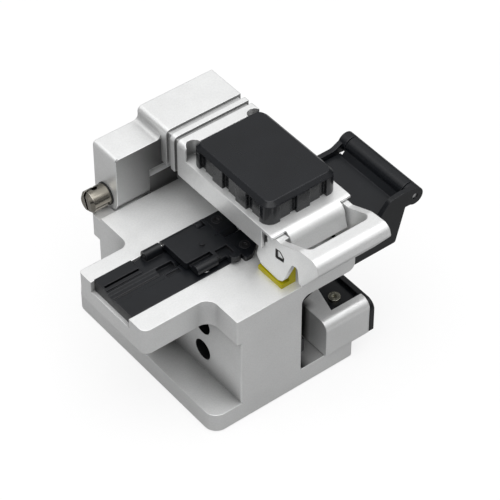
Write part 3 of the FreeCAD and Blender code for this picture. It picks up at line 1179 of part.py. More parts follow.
# Pad on the arm: bevelled top, three grip slots on each side and two across the front.
pad_block = prism("pad_block", "Z", [
    (val.pad_left, val.pad_front, val.pad_corner),
    (val.pad_right, val.pad_front, val.pad_corner),
    (val.pad_right, val.pad_rear, val.pad_corner),
    (val.pad_left, val.pad_rear, val.pad_corner),
], "arm_top", "pad_thick")
doc.recompute()


def on_top(edge):
    top = val.arm_top + val.pad_thick + val.mat_proud
    return all(abs(vertex.Point.z - top) < 0.01 for vertex in edge.Vertexes)


pad_bevelled = rounded("pad_bevelled", pad_block, val.pad_bevel, on_top, "Part::Chamfer")
pad_cuts = []
pad_high = "pad_thick - pad_bevel + 1"
for index, spot in enumerate(("side_slot_one", "side_slot_two", "side_slot_three")):
    pad_cuts.append(box("pad_slot_left_%d" % index, "pad_left - 1", spot + " - pad_slot/2",
                        "arm_top - 1", "1 + pad_slot_depth", "pad_slot", pad_high))
    pad_cuts.append(box("pad_panel_left_%d" % index, "pad_left - 1",
                        spot + " - pad_slot/2 - pad_panel_long", "arm_top - 1",
                        "1 + pad_panel_depth", "pad_panel_long", pad_high))
    pad_cuts.append(box("pad_slot_right_%d" % index, "pad_right - pad_slot_depth",
                        spot + " - pad_slot/2", "arm_top - 1", "1 + pad_slot_depth", "pad_slot",
                        pad_high))
    pad_cuts.append(box("pad_panel_right_%d" % index, "pad_right - pad_panel_depth",
                        spot + " - pad_slot/2 - pad_panel_long", "arm_top - 1",
                        "1 + pad_panel_depth", "pad_panel_long", pad_high))
for index, spot in enumerate(("front_slot_one", "front_slot_two")):
    pad_cuts.append(box("pad_slot_front_%d" % index, spot + " - pad_slot/2", "pad_front - 1",
                        "arm_top - 1", "pad_slot", "1 + pad_slot_depth", pad_high))
    pad_cuts.append(box("pad_panel_front_%d" % index, spot + " - pad_slot/2 - pad_panel_long",
                        "pad_front - 1", "arm_top - 1", "pad_panel_long",
                        "1 + pad_panel_depth", pad_high))
for index, spot_y in enumerate(PAD_SPOTS):
    pad_cuts.append(rod("pad_hole_%d" % index, "Z", pad_middle, spot_y, "arm_top - 1",
                        "pad_screw_shank + seat_gap", "1 + pad_screw_grip + 0.3"))
keep(without("lever_pad", pad_bevelled, *pad_cuts), "lever_pad")
keep(group("pad_screws", *pad_screws), "pad_screws")

# Clamp holder under the arm: a plate, two legs and the guide of the breaking plunger.
clamp_low = "clamp_pad_top + clamp_gap"
leg_low = "clamp_pad_top + clamp_gap + clamp_pad_thick"
plate_low = "arm_bottom - holder_thick"
anvil_y = "fibre_y"
holder_plate = box("holder_plate", "holder_left", "holder_front", plate_low,
                   "holder_right - holder_left", "holder_rear - holder_front", "holder_thick")
holder_parts = [holder_plate]
upper_pads = []
for index, side in enumerate(("clamp_left", "clamp_right")):
    holder_parts.append(box("clamp_leg_%d" % index, side + " + slide_gap", "clamp_front + slide_gap",
                            leg_low, "clamp_wide - 2*slide_gap", "clamp_long - 2*slide_gap",
                            "arm_bottom - holder_thick - clamp_pad_top - clamp_gap"
                            " - clamp_pad_thick"))
    upper_pads.append(box("upper_clamp_%d" % index, side + " + slide_gap",
                          "clamp_front + slide_gap", clamp_low, "clamp_wide - 2*slide_gap",
                          "clamp_long - 2*slide_gap", "clamp_pad_thick"))
holder_parts.append(box("anvil_guide", "blade_plane - guide_wide/2", "fibre_y - guide_long/2",
                        "arm_bottom - holder_thick - guide_high", "guide_wide", "guide_long",
                        "guide_high"))
holder_raw = joined("holder_raw", *holder_parts)
holder_cuts = [rod("guide_bore", "Z", "blade_plane", anvil_y, "arm_bottom - holder_thick - 9",
                   "anvil_radius + run_gap", "12")]
holder_screws = []
for index, (spot_x, spot_y) in enumerate(HOLDER_SPOTS):
    holder_cuts.append(rod("holder_hole_%d" % index, "Z", spot_x, spot_y,
                           "arm_bottom - holder_thick - 1", "small_shank + seat_gap",
                           "holder_thick + 2"))
    holder_screws.append(screw("holder_screw_%d" % index, "Z", spot_x, spot_y,
                               "arm_bottom - holder_thick - small_head_high", "small_head",
                               "small_head_high", "small_shank",
                               "holder_thick + holder_screw_long - tip_gap", "small_socket"))
keep(without("clamp_holder", holder_raw, *holder_cuts), "clamp_holder")
keep(group("holder_screws", *holder_screws), "holder_screws")
keep(group("upper_clamps", *upper_pads), "upper_clamps")

# Breaking plunger: a sliding rod with a narrow foot over the cutting plane.
anvil_rod = rod("anvil_rod", "Z", "blade_plane", anvil_y, "clamp_pad_top + clamp_gap + 0.01",
                "anvil_radius", "anvil_high")
anvil_foot = box("anvil_foot", "blade_plane - anvil_foot_wide/2", "fibre_y - anvil_foot_long/2",
                 "clamp_pad_top + clamp_gap + 0.01", "anvil_foot_wide", "anvil_foot_long",
                 "anvil_foot_high")
keep(joined("anvil", anvil_rod, anvil_foot), "anvil")

# Catch handle: two side plates, a front bar and a web, turning on a pin in the arm.
keep(rod("catch_pin", "X", "catch_left + catch_pin_in + slide_gap", "lip_y", "catch_pivot_z",
         "catch_pin_radius", "catch_right - catch_left - 2*catch_pin_in - 2*slide_gap"), "catch_pin")
CATCH_OUTLINE = [
    (1.9, 2.0, 1.85),
    (-3.0, 2.0, 1.0),
    (-9.5, 4.7, 4.0),
    (-15.6, 5.2, 2.5),
    (-16.4, 2.2, 1.0),
    (-10.9, -5.4, 0.8),
    (-9.5, -5.4, 0.3),
    (-8.9, -1.0, 0.9),
    (-7.0, -1.6, 1.0),
    (-3.7, -9.2, 0.5),
    (-2.1, -10.1, 0.5),
    (4.0, -9.7, 1.2),
    (5.9, -7.8, 1.2),
    (4.8, -3.1, 1.0),
    (1.9, -1.1, 0.8),
]
catch_points = [(val.lip_y + point[0], val.catch_pivot_z + point[1], point[2])
                for point in CATCH_OUTLINE]
catch_full = prism("catch_full", "X", catch_points, "catch_left", "catch_right - catch_left")
catch_opening = prism("catch_opening", "Z", [
    (val.catch_left + val.cheek_thick, val.lip_y - val.catch_bar_rear, val.catch_inside_corner),
    (val.catch_right - val.cheek_thick, val.lip_y - val.catch_bar_rear, val.catch_inside_corner),
    (val.catch_right - val.cheek_thick, val.lip_y + val.catch_opening_rear),
    (val.catch_left + val.cheek_thick, val.lip_y + val.catch_opening_rear),
], "catch_pivot_z - 15", "30")
catch_frame = without("catch_frame", catch_full, catch_opening)
left_knuckle = rod("left_knuckle", "X", "catch_left", "lip_y", "catch_pivot_z", "catch_knuckle",
                   "catch_knuckle_wide")
left_nose = box("left_nose", "catch_left", "lip_y - catch_nose", "catch_pivot_z - catch_knuckle/2",
                "catch_knuckle_wide", "catch_nose", "catch_knuckle*1.5")
right_knuckle = rod("right_knuckle", "X", "catch_right - catch_knuckle_right", "lip_y",
                    "catch_pivot_z", "catch_knuckle", "catch_knuckle_right")
catch_raw = joined("catch_raw", catch_frame, left_knuckle, left_nose, right_knuckle)
catch_bore = rod("catch_bore", "X", "catch_left + catch_pin_in", "lip_y", "catch_pivot_z",
                 "catch_pin_radius + run_gap", "catch_right - catch_left - 2*catch_pin_in")


def eye_points(inset):
    """The D-shaped mark in the left side plate, smaller by an inset on every side."""
    corners = [(-1.0, -0.7, -1, -1), (-2.9, -0.5, 1, -1), (-4.2, -1.7, 1, -1),
               (-4.0, -3.1, 1, 1), (-1.0, -3.7, -1, 1)]
    return [(val.lip_y + y + side * inset, val.catch_pivot_z + z + up * inset, 0.3)
            for y, z, side, up in corners]


eye_outer = prism("eye_outer", "X", eye_points(0), "catch_left - 1", "1 + catch_eye_deep")
eye_inner = prism("eye_inner", "X", eye_points(val.catch_eye_ring),
                  "catch_left + catch_eye_sunk", "catch_eye_deep")
catch_eye = without("catch_eye", eye_outer, eye_inner)
keep(without("catch_handle", catch_raw, catch_bore, catch_eye), "catch_handle")
ring_outer = prism("ring_outer", "X", eye_points(val.seat_gap), "catch_left + slide_gap",
                   "catch_eye_deep - 2*slide_gap")
ring_inner = prism("ring_inner", "X", eye_points(val.catch_eye_ring - val.seat_gap),
                   "catch_left - 1", "catch_eye_deep + 2")
keep(without("catch_ring", ring_outer, ring_inner), "catch_ring")

# Carriage: silver front cover, black slide block and black side plate.
cover_plan = prism("cover_plan", "Z", [
    (val.cover_left, val.cover_front),
    (val.cover_right, val.cover_front),
    (val.cover_right, val.cover_front + val.cover_wall),
    (val.cover_step_front, val.cover_front + val.cover_wall),
    (val.cover_step_rear, val.cover_rear),
    (val.cover_left, val.cover_rear_left),
], "cover_bottom", "cover_top - cover_bottom")
keep(rounded("carriage_cover", cover_plan, val.cover_round,
             edge_at(Vector(1, 0, 0), y=val.cover_front, z=val.cover_top)), "carriage_cover")
gap = val.slide_gap
block_plan = prism("block_plan", "Z", [
    (val.cover_right, val.cover_front + val.cover_wall + gap),
    (val.cover_step_front + gap, val.cover_front + val.cover_wall + gap),
    (val.cover_step_rear + gap, val.cover_rear + gap),
    (val.cover_left, val.cover_rear_left + gap),
    (val.block_left, val.cover_rear_left + gap),
    (val.block_left, val.carriage_rear, val.edge_radius),
    (val.cover_right, val.carriage_rear),
], "block_low", "block_high - block_low")
rail_groove = box("rail_groove", "block_left - 1", "cover_front - 1", "rail_low - slide_gap",
                  "wall_inner + rail_thick + slide_gap - block_left + 1",
                  "carriage_rear - cover_front + 2", "rail_high - rail_low + 2*slide_gap")
carriage_screws = []
block_cuts = [rail_groove]
for index, spot_y in enumerate(("cover_rear - carriage_screw_front",
                                "carriage_rear - carriage_screw_rear")):
    block_cuts.append(rod("block_thread_%d" % index, "Z", "cover_right - carriage_screw_in", spot_y,
                          "block_high - carriage_screw_long", "small_shank + seat_gap",
                          "carriage_screw_long + 1"))
    carriage_screws.append(screw("carriage_screw_%d" % index, "-Z",
                                 "cover_right - carriage_screw_in", spot_y,
                                 "block_high + carriage_head_high", "carriage_head",
                                 "carriage_head_high", "small_shank",
                                 "carriage_screw_long - tip_gap", "small_socket"))
bracket_cuts = []
for index, spot_y in enumerate(("bracket_front + bracket_screw_in",
                                "bracket_rear - bracket_screw_in")):
    block_cuts.append(rod("bracket_thread_%d" % index, "Z", "bracket_right - bracket_screw_in", spot_y,
                          "block_high - carriage_screw_long", "small_shank + seat_gap",
                          "carriage_screw_long + 1"))
    bracket_cuts.append(rod("bracket_hole_%d" % index, "Z", "bracket_right - bracket_screw_in", spot_y,
                            "block_high - 1", "small_shank + seat_gap", "bracket_foot + 2"))
    carriage_screws.append(screw("bracket_screw_%d" % index, "-Z",
                                 "bracket_right - bracket_screw_in", spot_y,
                                 "block_high + bracket_foot + small_head_high", "small_head",
                                 "small_head_high", "small_shank",
                                 "bracket_foot + carriage_screw_long - tip_gap", "small_socket"))
keep(without("carriage_block", block_plan, *block_cuts), "carriage_block")
side_plate = box("side_plate", "cover_right", "cover_front - 0.1", "block_low", "side_plate_thick",
                 "carriage_rear - cover_front + 0.1", "side_plate_top - block_low")
keep(rounded("carriage_side", side_plate, val.cover_round,
             edge_at(Vector(1, 0, 0), y=val.cover_front - 0.1, z=val.side_plate_top)),
     "carriage_side")
keep(group("carriage_screws", *carriage_screws), "carriage_screws")

# Blade bracket with the hub, the blade wheel and its screw.
bracket_sole = box("bracket_sole", "bracket_left", "bracket_front", "block_high",
                   "bracket_right - bracket_left", "bracket_rear - bracket_front", "bracket_foot")
bracket_web = box("bracket_web", "bracket_left", "bracket_front", "block_high", "bracket_thick",
                  "bracket_rear - bracket_front", "deck_top - roof_thick - 0.5 - block_high")
hub_left = "blade_plane - blade_thick/2"
bracket_boss = rod("bracket_boss", "X", "blade_plane + blade_thick/2 + slide_gap", "blade_y",
                   "blade_z", "hub_radius + 1.2",
                   "bracket_left + 0.5 - blade_plane - blade_thick/2 - slide_gap")
bracket_hub = rod("bracket_hub", "X", hub_left, "blade_y", "blade_z", "hub_radius",
                  "bracket_left + 0.5 - blade_plane + blade_thick/2")
bracket_raw = joined("bracket_raw", bracket_sole, bracket_web, bracket_boss, bracket_hub)
hub_thread = rod("hub_thread", "X", "blade_plane - blade_thick/2 - 1", "blade_y", "blade_z",
                 "small_shank + seat_gap", "blade_screw_long + 1")
keep(without("blade_bracket", bracket_raw, hub_thread, *bracket_cuts), "blade_bracket")
keep(screw("blade_screw", "X", "blade_plane - blade_thick/2 - slide_gap - blade_head_high",
           "blade_y", "blade_z", "hub_radius + 0.8", "blade_head_high", "small_shank",
           "blade_screw_long", "small_socket"), "blade_screw")
blade_disc = rod("blade_disc", "X", hub_left, "blade_y", "blade_z", "blade_radius - blade_bevel",
                 "blade_thick")
blade_edge_left = cone("blade_edge_left", "X", hub_left, "blade_y", "blade_z",
                       "blade_radius - blade_bevel", "blade_radius", "blade_thick/2")
blade_edge_right = cone("blade_edge_right", "X", "blade_plane", "blade_y", "blade_z",
                        "blade_radius", "blade_radius - blade_bevel", "blade_thick/2")
blade_raw = joined("blade_raw", blade_disc, blade_edge_left, blade_edge_right)
blade_bore = rod("blade_bore", "X", "blade_plane - 2", "blade_y", "blade_z",
                 "hub_radius + run_gap", "4")
keep(without("blade_wheel", blade_raw, blade_bore), "blade_wheel")

doc.recompute()
os.makedirs("parts", exist_ok=True)
for obj in doc.Objects:
    if "Invalid" in obj.State or "Error" in obj.State:
        raise RuntimeError("%s (%s) failed: %s" % (obj.Label, obj.Name, obj.State))
for obj in PARTS:
    if obj.Shape.isNull() or not obj.Shape.isValid():
        raise RuntimeError("bad shape: " + obj.Label)
for obj in PARTS:
    obj.Shape.exportStep("parts/%s.step" % obj.Label)
    limits = obj.Shape.BoundBox
    print("%-18s solids %2d  volume %9.2f  X %7.2f %7.2f  Y %7.2f %7.2f  Z %6.2f %6.2f" % (
        obj.Label, len(obj.Shape.Solids), obj.Shape.Volume, limits.XMin, limits.XMax,
        limits.YMin, limits.YMax, limits.ZMin, limits.ZMax))
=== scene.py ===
"""Looks, light and camera for the fibre cleaver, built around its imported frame."""

import json
import math

import bpy
from mathutils import Matrix, Vector

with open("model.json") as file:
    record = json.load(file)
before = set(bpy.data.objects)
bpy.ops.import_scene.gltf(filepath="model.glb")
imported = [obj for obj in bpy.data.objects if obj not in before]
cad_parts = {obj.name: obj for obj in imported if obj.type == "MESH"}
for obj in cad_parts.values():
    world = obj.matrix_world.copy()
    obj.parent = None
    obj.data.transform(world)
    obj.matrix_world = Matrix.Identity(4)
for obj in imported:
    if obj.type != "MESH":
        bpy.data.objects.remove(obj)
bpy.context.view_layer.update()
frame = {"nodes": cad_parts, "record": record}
NODES = frame["nodes"]
MM = 0.001
X, Y, Z = range(3)
# The part's own frame begins below the middle of the foot; measures in this file are taken, like
# the part's, from the front left edge of the wall and the underside of the foot.
ORIGIN = Vector((12.85, 27.75, -0.4))


def mm(x, y, z):
    return (Vector((x, y, z)) - ORIGIN) * MM


# The two blind holes in the left face of the wall, whose insides carry painted shade: middle, radius with
# a hair of room, and how far in from the face the painted shade begins and ends.
WALL_HOLE_Y = 14.8
WALL_HOLE_HEIGHTS = (11.5, 20.0)
WALL_HOLE_RADIUS = 2.85
WALL_HOLE_EDGE = 0.12
WALL_HOLE_END = 12.0
# Near-black colour of the painted shade in the wall holes and in the boxes below.
PAINTED_SHADE_TONE = (0.02, 0.02, 0.02)

# Boxes whose aluminium surfaces carry painted shade: beside the carriage cover, on the floor of that
# channel, and on the upright faces that end the deck beside the lever.
CHANNEL = ((18.6, 0.1, 5.45), (27.8, 24.0, 16.2))
CHANNEL_FLOOR = ((18.2, 0.1, 5.2), (33.0, 24.0, 5.4))
NOOK = ((-0.3, 46.85, 31.0), (17.5, 47.45, 48.28))
# How the painted shade grows or fades along an axis: axis, two places on it, and its strength at each.
CHANNEL_DEEPER = (Y, 5.6, 7.6, 0.0, 0.95)
CHANNEL_ASIDE = (X, 25.2, 27.6, 1.0, 0.0)
FLOOR_FROM_WALL = (X, 18.8, 21.2, 0.90, 0.42)
FLOOR_TO_SIDE = (X, 25.0, 33.0, 1.0, 0.0)
FLOOR_TO_REAR = (Y, 7.0, 22.0, 1.0, 0.0)
NOOK_TO_LEVER = (X, 0.0, 12.0, 0.56, 0.86)

# What all surfaces share. A noise has a scale, a detail and a roughness.
BROAD_NOISE = (90, 4.0)
SMUDGE_NOISE = (330, 5.0, 0.65)
GRAIN_NOISE = (2600, 3.0, 0.7)
LIGHT_CLOUD = 0.6
GRAIN_TONES = ((0.93, 0.93, 0.93), (1.0, 1.0, 1.0))
GRAIN_STRENGTH = 0.35
EDGE_BEND = (0.995, 0.86)
EDGE_SMOOTHER = 0.10
OPEN_AND_DEEP = (0.95, 0.35)
# How dark the painted shade in inside corners gets, as a share of the material's colour.
CORNER_SHADE_TONE = 0.12
ROUGH_SPREAD = 0.06

# The floor: its greys by indirect rays and as the camera sees it, and how much of its own glow
# the camera and the mirroring and clear surfaces see.
FLOOR_SIDE = 6.0
FLOOR_ROUGHNESS = 0.9
FLOOR_NOISE = (40, 3.0)
FLOOR_SHADED = ((0.25, 0.25, 0.25), (0.28, 0.28, 0.28))
FLOOR_SHOWN = ((0.89, 0.89, 0.89), (0.92, 0.92, 0.92))
GLOW_SEEN = 0.80
GLOW_MIRRORED = 0.14

# The sky is darker near the horizon: height of a direction, from and to, and its strength there.
SKY_DOME = (0.1, 0.6, 0.03, 0.72)
# Lamps: name, place in metres, side in metres, watts.
LAMPS = (
    ("top_box", (-0.06, -0.14, 0.80), 1.1, 6.7),
    ("left_box", (-0.7, -0.05, 0.30), 0.4, 0.14),
)
LAMP_TARGET = (0.0, 0.0, 0.02)

# The camera, as solved from the photograph: a focal length in pixels of a picture 500 wide.
AZIMUTH, ELEVATION = math.radians(-38.13), math.radians(44.08)
CAMERA_PLACE = (-232.3, -299.1, 422.0)
FOCAL_PIXELS = 2405
PICTURE_PIXELS = 500
SENSOR = 36
CLIP_START = 0.01


# Materials.
class Tree:
    """A small helper that wires the nodes of a material or of the world."""

    def __init__(self, tree):
        self.tree = tree

    def add(self, kind, **values):
        node = self.tree.nodes.new(kind)
        for key, value in values.items():
            setattr(node, key, value)
        return node

    def link(self, source, target):
        self.tree.links.new(source, target)

    def span(self, value, low, high, new_low, new_high):
        node = self.add("ShaderNodeMapRange")
        self.link(value, node.inputs["Value"])
        for key, number in (("From Min", low), ("From Max", high), ("To Min", new_low),
                            ("To Max", new_high)):
            node.inputs[key].default_value = number
        return node.outputs[0]

    def mix(self, factor, first, second, blend="MIX"):
        node = self.add("ShaderNodeMix", data_type="RGBA", blend_type=blend)
        if isinstance(factor, (int, float)):
            node.inputs[0].default_value = factor
        else:
            self.link(factor, node.inputs[0])
        for slot, value in ((6, first), (7, second)):
            if isinstance(value, (tuple, list)):
                node.inputs[slot].default_value = (*value[:3], 1)
            else:
                self.link(value, node.inputs[slot])
        return node.outputs[2]

    def maths(self, how, *values):
        node = self.add("ShaderNodeMath", operation=how)
        for slot, value in enumerate(values):
            if isinstance(value, (int, float)):
                node.inputs[slot].default_value = value
            else:
                self.link(value, node.inputs[slot])
        return node.outputs[0]

    def product(self, *values):
        result = values[0]
        for value in values[1:]:
            result = self.maths("MULTIPLY", result, value)
        return result

    def split(self, vector):
        node = self.add("ShaderNodeSeparateXYZ")
        self.link(vector, node.inputs[0])
        return node.outputs


class Look(Tree):
    """One procedural material."""

    def __init__(self, name):
        self.material = bpy.data.materials.new(name)
        self.material.use_nodes = True
        super().__init__(self.material.node_tree)
        self.tree.nodes.clear()
        self.out = self.add("ShaderNodeOutputMaterial")
        self.shader = self.add("ShaderNodeBsdfPrincipled")
        self.link(self.shader.outputs[0], self.out.inputs[0])
        self.coords = self.add("ShaderNodeTexCoord").outputs["Object"]

    def noise(self, scale, detail=3.0, rough=0.55, stretch=None):
        node = self.add("ShaderNodeTexNoise")
        node.inputs["Scale"].default_value = scale
        node.inputs["Detail"].default_value = detail
        node.inputs["Roughness"].default_value = rough
        where = self.coords
        if stretch:
            mapping = self.add("ShaderNodeMapping")
            mapping.inputs["Scale"].default_value = stretch
            self.link(where, mapping.inputs["Vector"])
            where = mapping.outputs[0]
        self.link(where, node.inputs["Vector"])
        return node.outputs["Fac"]

    def edges(self, radius):
        """How near a point is to a sharp edge, and the softened normal there."""
        bevel = self.add("ShaderNodeBevel", samples=6)
        bevel.inputs["Radius"].default_value = radius
        geometry = self.add("ShaderNodeNewGeometry")
        dot = self.add("ShaderNodeVectorMath", operation="DOT_PRODUCT")
        self.link(bevel.outputs[0], dot.inputs[0])
        self.link(geometry.outputs["Normal"], dot.inputs[1])
        return self.span(dot.outputs["Value"], *EDGE_BEND, 0.0, 1.0), bevel.outputs[0]

    def crevices(self, reach):
        """How deep a point lies in an inside corner of its own piece, where painted shade goes."""
        node = self.add("ShaderNodeAmbientOcclusion", samples=12, only_local=True)
        node.inputs["Distance"].default_value = reach
        return self.span(node.outputs["AO"], *OPEN_AND_DEEP, 0.0, 1.0)

    def inside(self, place, corners):
        """One inside a box given by two corners, nought elsewhere."""
        low, high = mm(*corners[0]), mm(*corners[1])
        tests = []
        for axis in (X, Y, Z):
            tests.append(self.maths("GREATER_THAN", place[axis], low[axis]))
            tests.append(self.maths("LESS_THAN", place[axis], high[axis]))
        return self.product(*tests)

    def fade(self, place, axis, start, end, first, last):
        """A value that goes from first to last between two places on one axis."""
        return self.span(place[axis], mm(start, start, start)[axis], mm(end, end, end)[axis], first, last)

    def bumps(self, height, strength, distance, normal):
        node = self.add("ShaderNodeBump")
        node.inputs["Strength"].default_value = strength
        node.inputs["Distance"].default_value = distance
        self.link(height, node.inputs["Height"])
        self.link(normal, node.inputs["Normal"])
        return node.outputs[0]


def bore_shade_mask(look, place):
    """One inside the two blind holes of the wall, where painted shade goes; nought elsewhere."""
    near = []
    for height in WALL_HOLE_HEIGHTS:
        centre = mm(0, WALL_HOLE_Y, height)
        across = look.maths("SUBTRACT", place[Y], centre.y)
        above = look.maths("SUBTRACT", place[Z], centre.z)
        square = look.maths("ADD", look.product(across, across), look.product(above, above))
        near.append(look.maths("LESS_THAN", look.maths("SQRT", square), WALL_HOLE_RADIUS * MM))
    left = look.maths("GREATER_THAN", place[X], mm(WALL_HOLE_EDGE, 0, 0).x)
    right = look.maths("LESS_THAN", place[X], mm(WALL_HOLE_END, 0, 0).x)
    return look.product(look.maths("MAXIMUM", *near), left, right)


def painted_shade_mask(look, place):
    """How strong the painted shade is, from nought to one."""
    channel = look.product(look.inside(place, CHANNEL), look.fade(place, *CHANNEL_DEEPER),
                           look.fade(place, *CHANNEL_ASIDE))
    ground = look.product(look.inside(place, CHANNEL_FLOOR), look.fade(place, *FLOOR_FROM_WALL),
                          look.fade(place, *FLOOR_TO_SIDE), look.fade(place, *FLOOR_TO_REAR))
    nook = look.product(look.inside(place, NOOK), look.fade(place, *NOOK_TO_LEVER))
    return look.maths("MAXIMUM", nook, look.maths("MAXIMUM", channel, ground))


def surface(name, color, metallic, roughness, edge_color, cloud=0.10, specular=0.5,
            edge_strength=0.7, edge_radius=0.25, grain_depth=0.012, brushed=None, corner_shade=0.0,
            corner_shade_reach=4.0, painted_shade_places=False):
    """A material with a cloudy tone, a fine grain, worn edges also lightened as painted highlight, and
    painted shade in its corners and chosen places.
    """
    look = Look(name)
    shader = look.shader
    shader.inputs["Metallic"].default_value = metallic
    shader.inputs["Specular IOR Level"].default_value = specular
    broad = look.noise(*BROAD_NOISE)
    fine = look.noise(*GRAIN_NOISE, brushed)
    smudge = look.noise(*SMUDGE_NOISE)
    dark = tuple(channel * (1 - cloud) for channel in color)
    light = tuple(min(1.0, channel * (1 + cloud * LIGHT_CLOUD)) for channel in color)
    base = look.mix(look.span(broad, 0.3, 0.7, 0.0, 1.0), dark, light)
    speck = look.mix(look.span(fine, 0.35, 0.65, 0.0, 1.0), *GRAIN_TONES)
    base = look.mix(1.0, base, speck, "MULTIPLY")
    mask, soft = look.edges(edge_radius * MM)
    # Worn edges, lighter and smoother as real wear; the lighter colour is also a painted edge highlight.
    wear_and_edge_sheen = look.product(mask, look.span(smudge, 0.3, 0.62, 0.35, 1.0))
    base = look.mix(look.product(wear_and_edge_sheen, edge_strength), base, edge_color)
    # Painted shade in the inside corners of the piece.
    if corner_shade:
        shaded_tone = tuple(CORNER_SHADE_TONE * channel for channel in color)
        base = look.mix(look.product(look.crevices(corner_shade_reach * MM), corner_shade), base, shaded_tone)
    # Painted shade inside the wall holes and in the boxes of aluminium.
    if painted_shade_places:
        place = look.split(look.coords)
        base = look.mix(bore_shade_mask(look, place), base, PAINTED_SHADE_TONE)
        base = look.mix(painted_shade_mask(look, place), base, PAINTED_SHADE_TONE)
    look.link(base, shader.inputs["Base Color"])
    rough = look.span(smudge, 0.25, 0.75, roughness - ROUGH_SPREAD, roughness + ROUGH_SPREAD)
    rough = look.maths("SUBTRACT", rough, look.product(wear_and_edge_sheen, EDGE_SMOOTHER))
    look.link(rough, shader.inputs["Roughness"])
    look.link(look.bumps(fine, GRAIN_STRENGTH, grain_depth * MM, soft), shader.inputs["Normal"])
    return look.material


# The aluminium carries painted shade in its corners, in the wall holes and in the boxes; the black, pad
# and yellow looks carry painted shade in their corners.
SLOT_LOOKS = {
    "satin_aluminium": surface(
        "blasted_aluminium", (0.875, 0.88, 0.878), 0.56, 0.38, (0.97, 0.97, 0.97), cloud=0.04,
        edge_strength=0.45, corner_shade=0.95, corner_shade_reach=10.0, painted_shade_places=True),
    "black_aluminium": surface(
        "black_anodised", (0.006, 0.007, 0.009), 0.0, 0.32, (0.07, 0.07, 0.08), cloud=0.25,
        specular=0.34, edge_strength=0.5, corner_shade=0.6, corner_shade_reach=1.5),
    "black_pad": surface(
        "black_pad", (0.006, 0.007, 0.009), 0.0, 0.26, (0.05, 0.05, 0.06), cloud=0.25,
        specular=0.36, edge_strength=0.5, edge_radius=0.35, grain_depth=0.003, corner_shade=0.6,
        corner_shade_reach=1.5),
    "steel": surface(
        "ground_steel", (0.60, 0.60, 0.60), 1.0, 0.28, (0.85, 0.85, 0.85), brushed=(1, 12, 12)),
    "dark_steel": surface(
        "blackened_steel", (0.03, 0.03, 0.033), 0.6, 0.36, (0.25, 0.25, 0.25), edge_strength=0.5,
        edge_radius=0.12),
    "nickel": surface(
        "bright_nickel", (0.30, 0.28, 0.24), 1.0, 0.17, (0.75, 0.73, 0.69), brushed=(1, 10, 10)),
    "hard_metal": surface("hard_metal", (0.46, 0.47, 0.49), 1.0, 0.2, (0.9, 0.9, 0.9)),
    "black_rubber": surface(
        "black_rubber", (0.022, 0.022, 0.022), 0.0, 0.75, (0.06, 0.06, 0.06), specular=0.3,
        edge_strength=0.3),
    "yellow_plastic": surface(
        "yellow_plastic", (0.46, 0.40, 0.004), 0.0, 0.42, (0.62, 0.56, 0.04), specular=0.2,
        edge_strength=0.35, corner_shade=0.6, corner_shade_reach=3.0),
    "magnet_nickel": surface("plated_magnet", (0.55, 0.55, 0.55), 1.0, 0.25, (0.9, 0.9, 0.9)),
}
# Nodes whose finish differs a little from the rest of their slot.
NODE_LOOKS = {
    "carriage_screws": surface(
        "carriage_screw_steel", (0.34, 0.33, 0.27), 1.0, 0.25, (0.75, 0.73, 0.65)),
}
for entry in frame["record"]["subparts"]:
    mesh = NODES[entry["node"]].data
    mesh.materials.clear()
    mesh.materials.append(NODE_LOOKS.get(entry["node"], SLOT_LOOKS[entry["material_slot"]]))


# Stage, light and camera.
def place_in_scene(name, data):
    obj = bpy.data.objects.new(name, data)
    bpy.context.scene.collection.objects.link(obj)
    return obj


def plane(name, side):
    mesh = bpy.data.meshes.new(name)
    half = side / 2
    corners = [(-half, -half, 0.0), (half, -half, 0.0), (half, half, 0.0), (-half, half, 0.0)]
    mesh.from_pydata(corners, [], [(0, 1, 2, 3)])
    return place_in_scene(name, mesh)


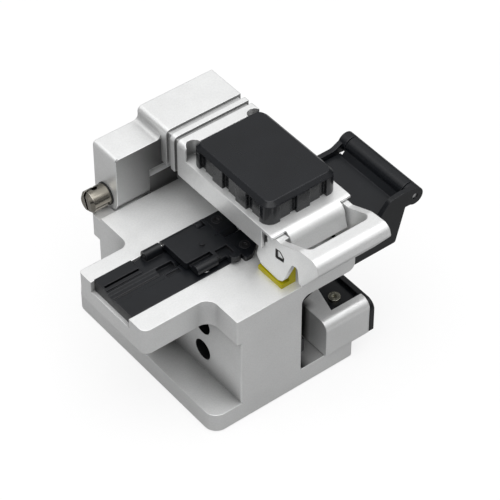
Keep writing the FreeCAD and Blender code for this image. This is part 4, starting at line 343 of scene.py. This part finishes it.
def paper_look():
    """Pale paper that keeps the shadow and shows nearly white to the camera."""
    paper = Look("pale_floor")
    paper.shader.inputs["Roughness"].default_value = FLOOR_ROUGHNESS
    grain = paper.span(paper.noise(*FLOOR_NOISE), 0.3, 0.7, 0.0, 1.0)
    ray = paper.add("ShaderNodeLightPath").outputs
    tone = paper.mix(ray["Is Camera Ray"], paper.mix(grain, *FLOOR_SHADED),
                     paper.mix(grain, *FLOOR_SHOWN))
    paper.link(tone, paper.shader.inputs["Base Color"])
    glow = paper.add("ShaderNodeEmission")
    glow.inputs["Strength"].default_value = 1.0
    mirrored = paper.maths("MAXIMUM", ray["Is Glossy Ray"], ray["Is Transmission Ray"])
    share = paper.maths("ADD", paper.product(ray["Is Camera Ray"], GLOW_SEEN),
                        paper.product(mirrored, GLOW_MIRRORED))
    blend = paper.add("ShaderNodeMixShader")
    paper.link(share, blend.inputs[0])
    paper.link(paper.shader.outputs[0], blend.inputs[1])
    paper.link(glow.outputs[0], blend.inputs[2])
    paper.link(blend.outputs[0], paper.out.inputs[0])
    return paper.material


floor = plane("floor", FLOOR_SIDE)
floor.data.materials.append(paper_look())

world = bpy.data.worlds.new("studio")
bpy.context.scene.world = world
world.use_nodes = True
background = world.node_tree.nodes["Background"]
background.inputs["Color"].default_value = (1, 1, 1, 1)
sky = Tree(world.node_tree)
height = sky.split(sky.add("ShaderNodeTexCoord").outputs["Generated"])[Z]
seen = sky.add("ShaderNodeLightPath").outputs["Is Camera Ray"]
sky.link(sky.maths("MAXIMUM", sky.span(height, *SKY_DOME), seen), background.inputs["Strength"])

for lamp_name, lamp_place, side, power in LAMPS:
    lamp = bpy.data.lights.new(lamp_name, "AREA")
    lamp.shape = "RECTANGLE"
    lamp.size = lamp.size_y = side
    lamp.energy = power
    lamp_object = place_in_scene(lamp_name, lamp)
    lamp_object.location = lamp_place
    aim = Vector(LAMP_TARGET) - Vector(lamp_place)
    lamp_object.rotation_euler = aim.to_track_quat("-Z", "Y").to_euler()

back = Vector((math.sin(AZIMUTH) * math.cos(ELEVATION), -math.cos(AZIMUTH) * math.cos(ELEVATION),
               math.sin(ELEVATION)))
right = Vector((math.cos(AZIMUTH), math.sin(AZIMUTH), 0))
turn = Matrix((right, back.cross(right), back)).transposed().to_4x4()
camera_data = bpy.data.cameras.new("camera")
camera_data.sensor_width = SENSOR
camera_data.lens = SENSOR * FOCAL_PIXELS / PICTURE_PIXELS
camera_data.clip_start = CLIP_START
camera = place_in_scene("camera", camera_data)
camera.matrix_world = Matrix.Translation(mm(*CAMERA_PLACE)) @ turn
bpy.context.scene.camera = camera
bpy.context.scene.view_settings.view_transform = "Standard"
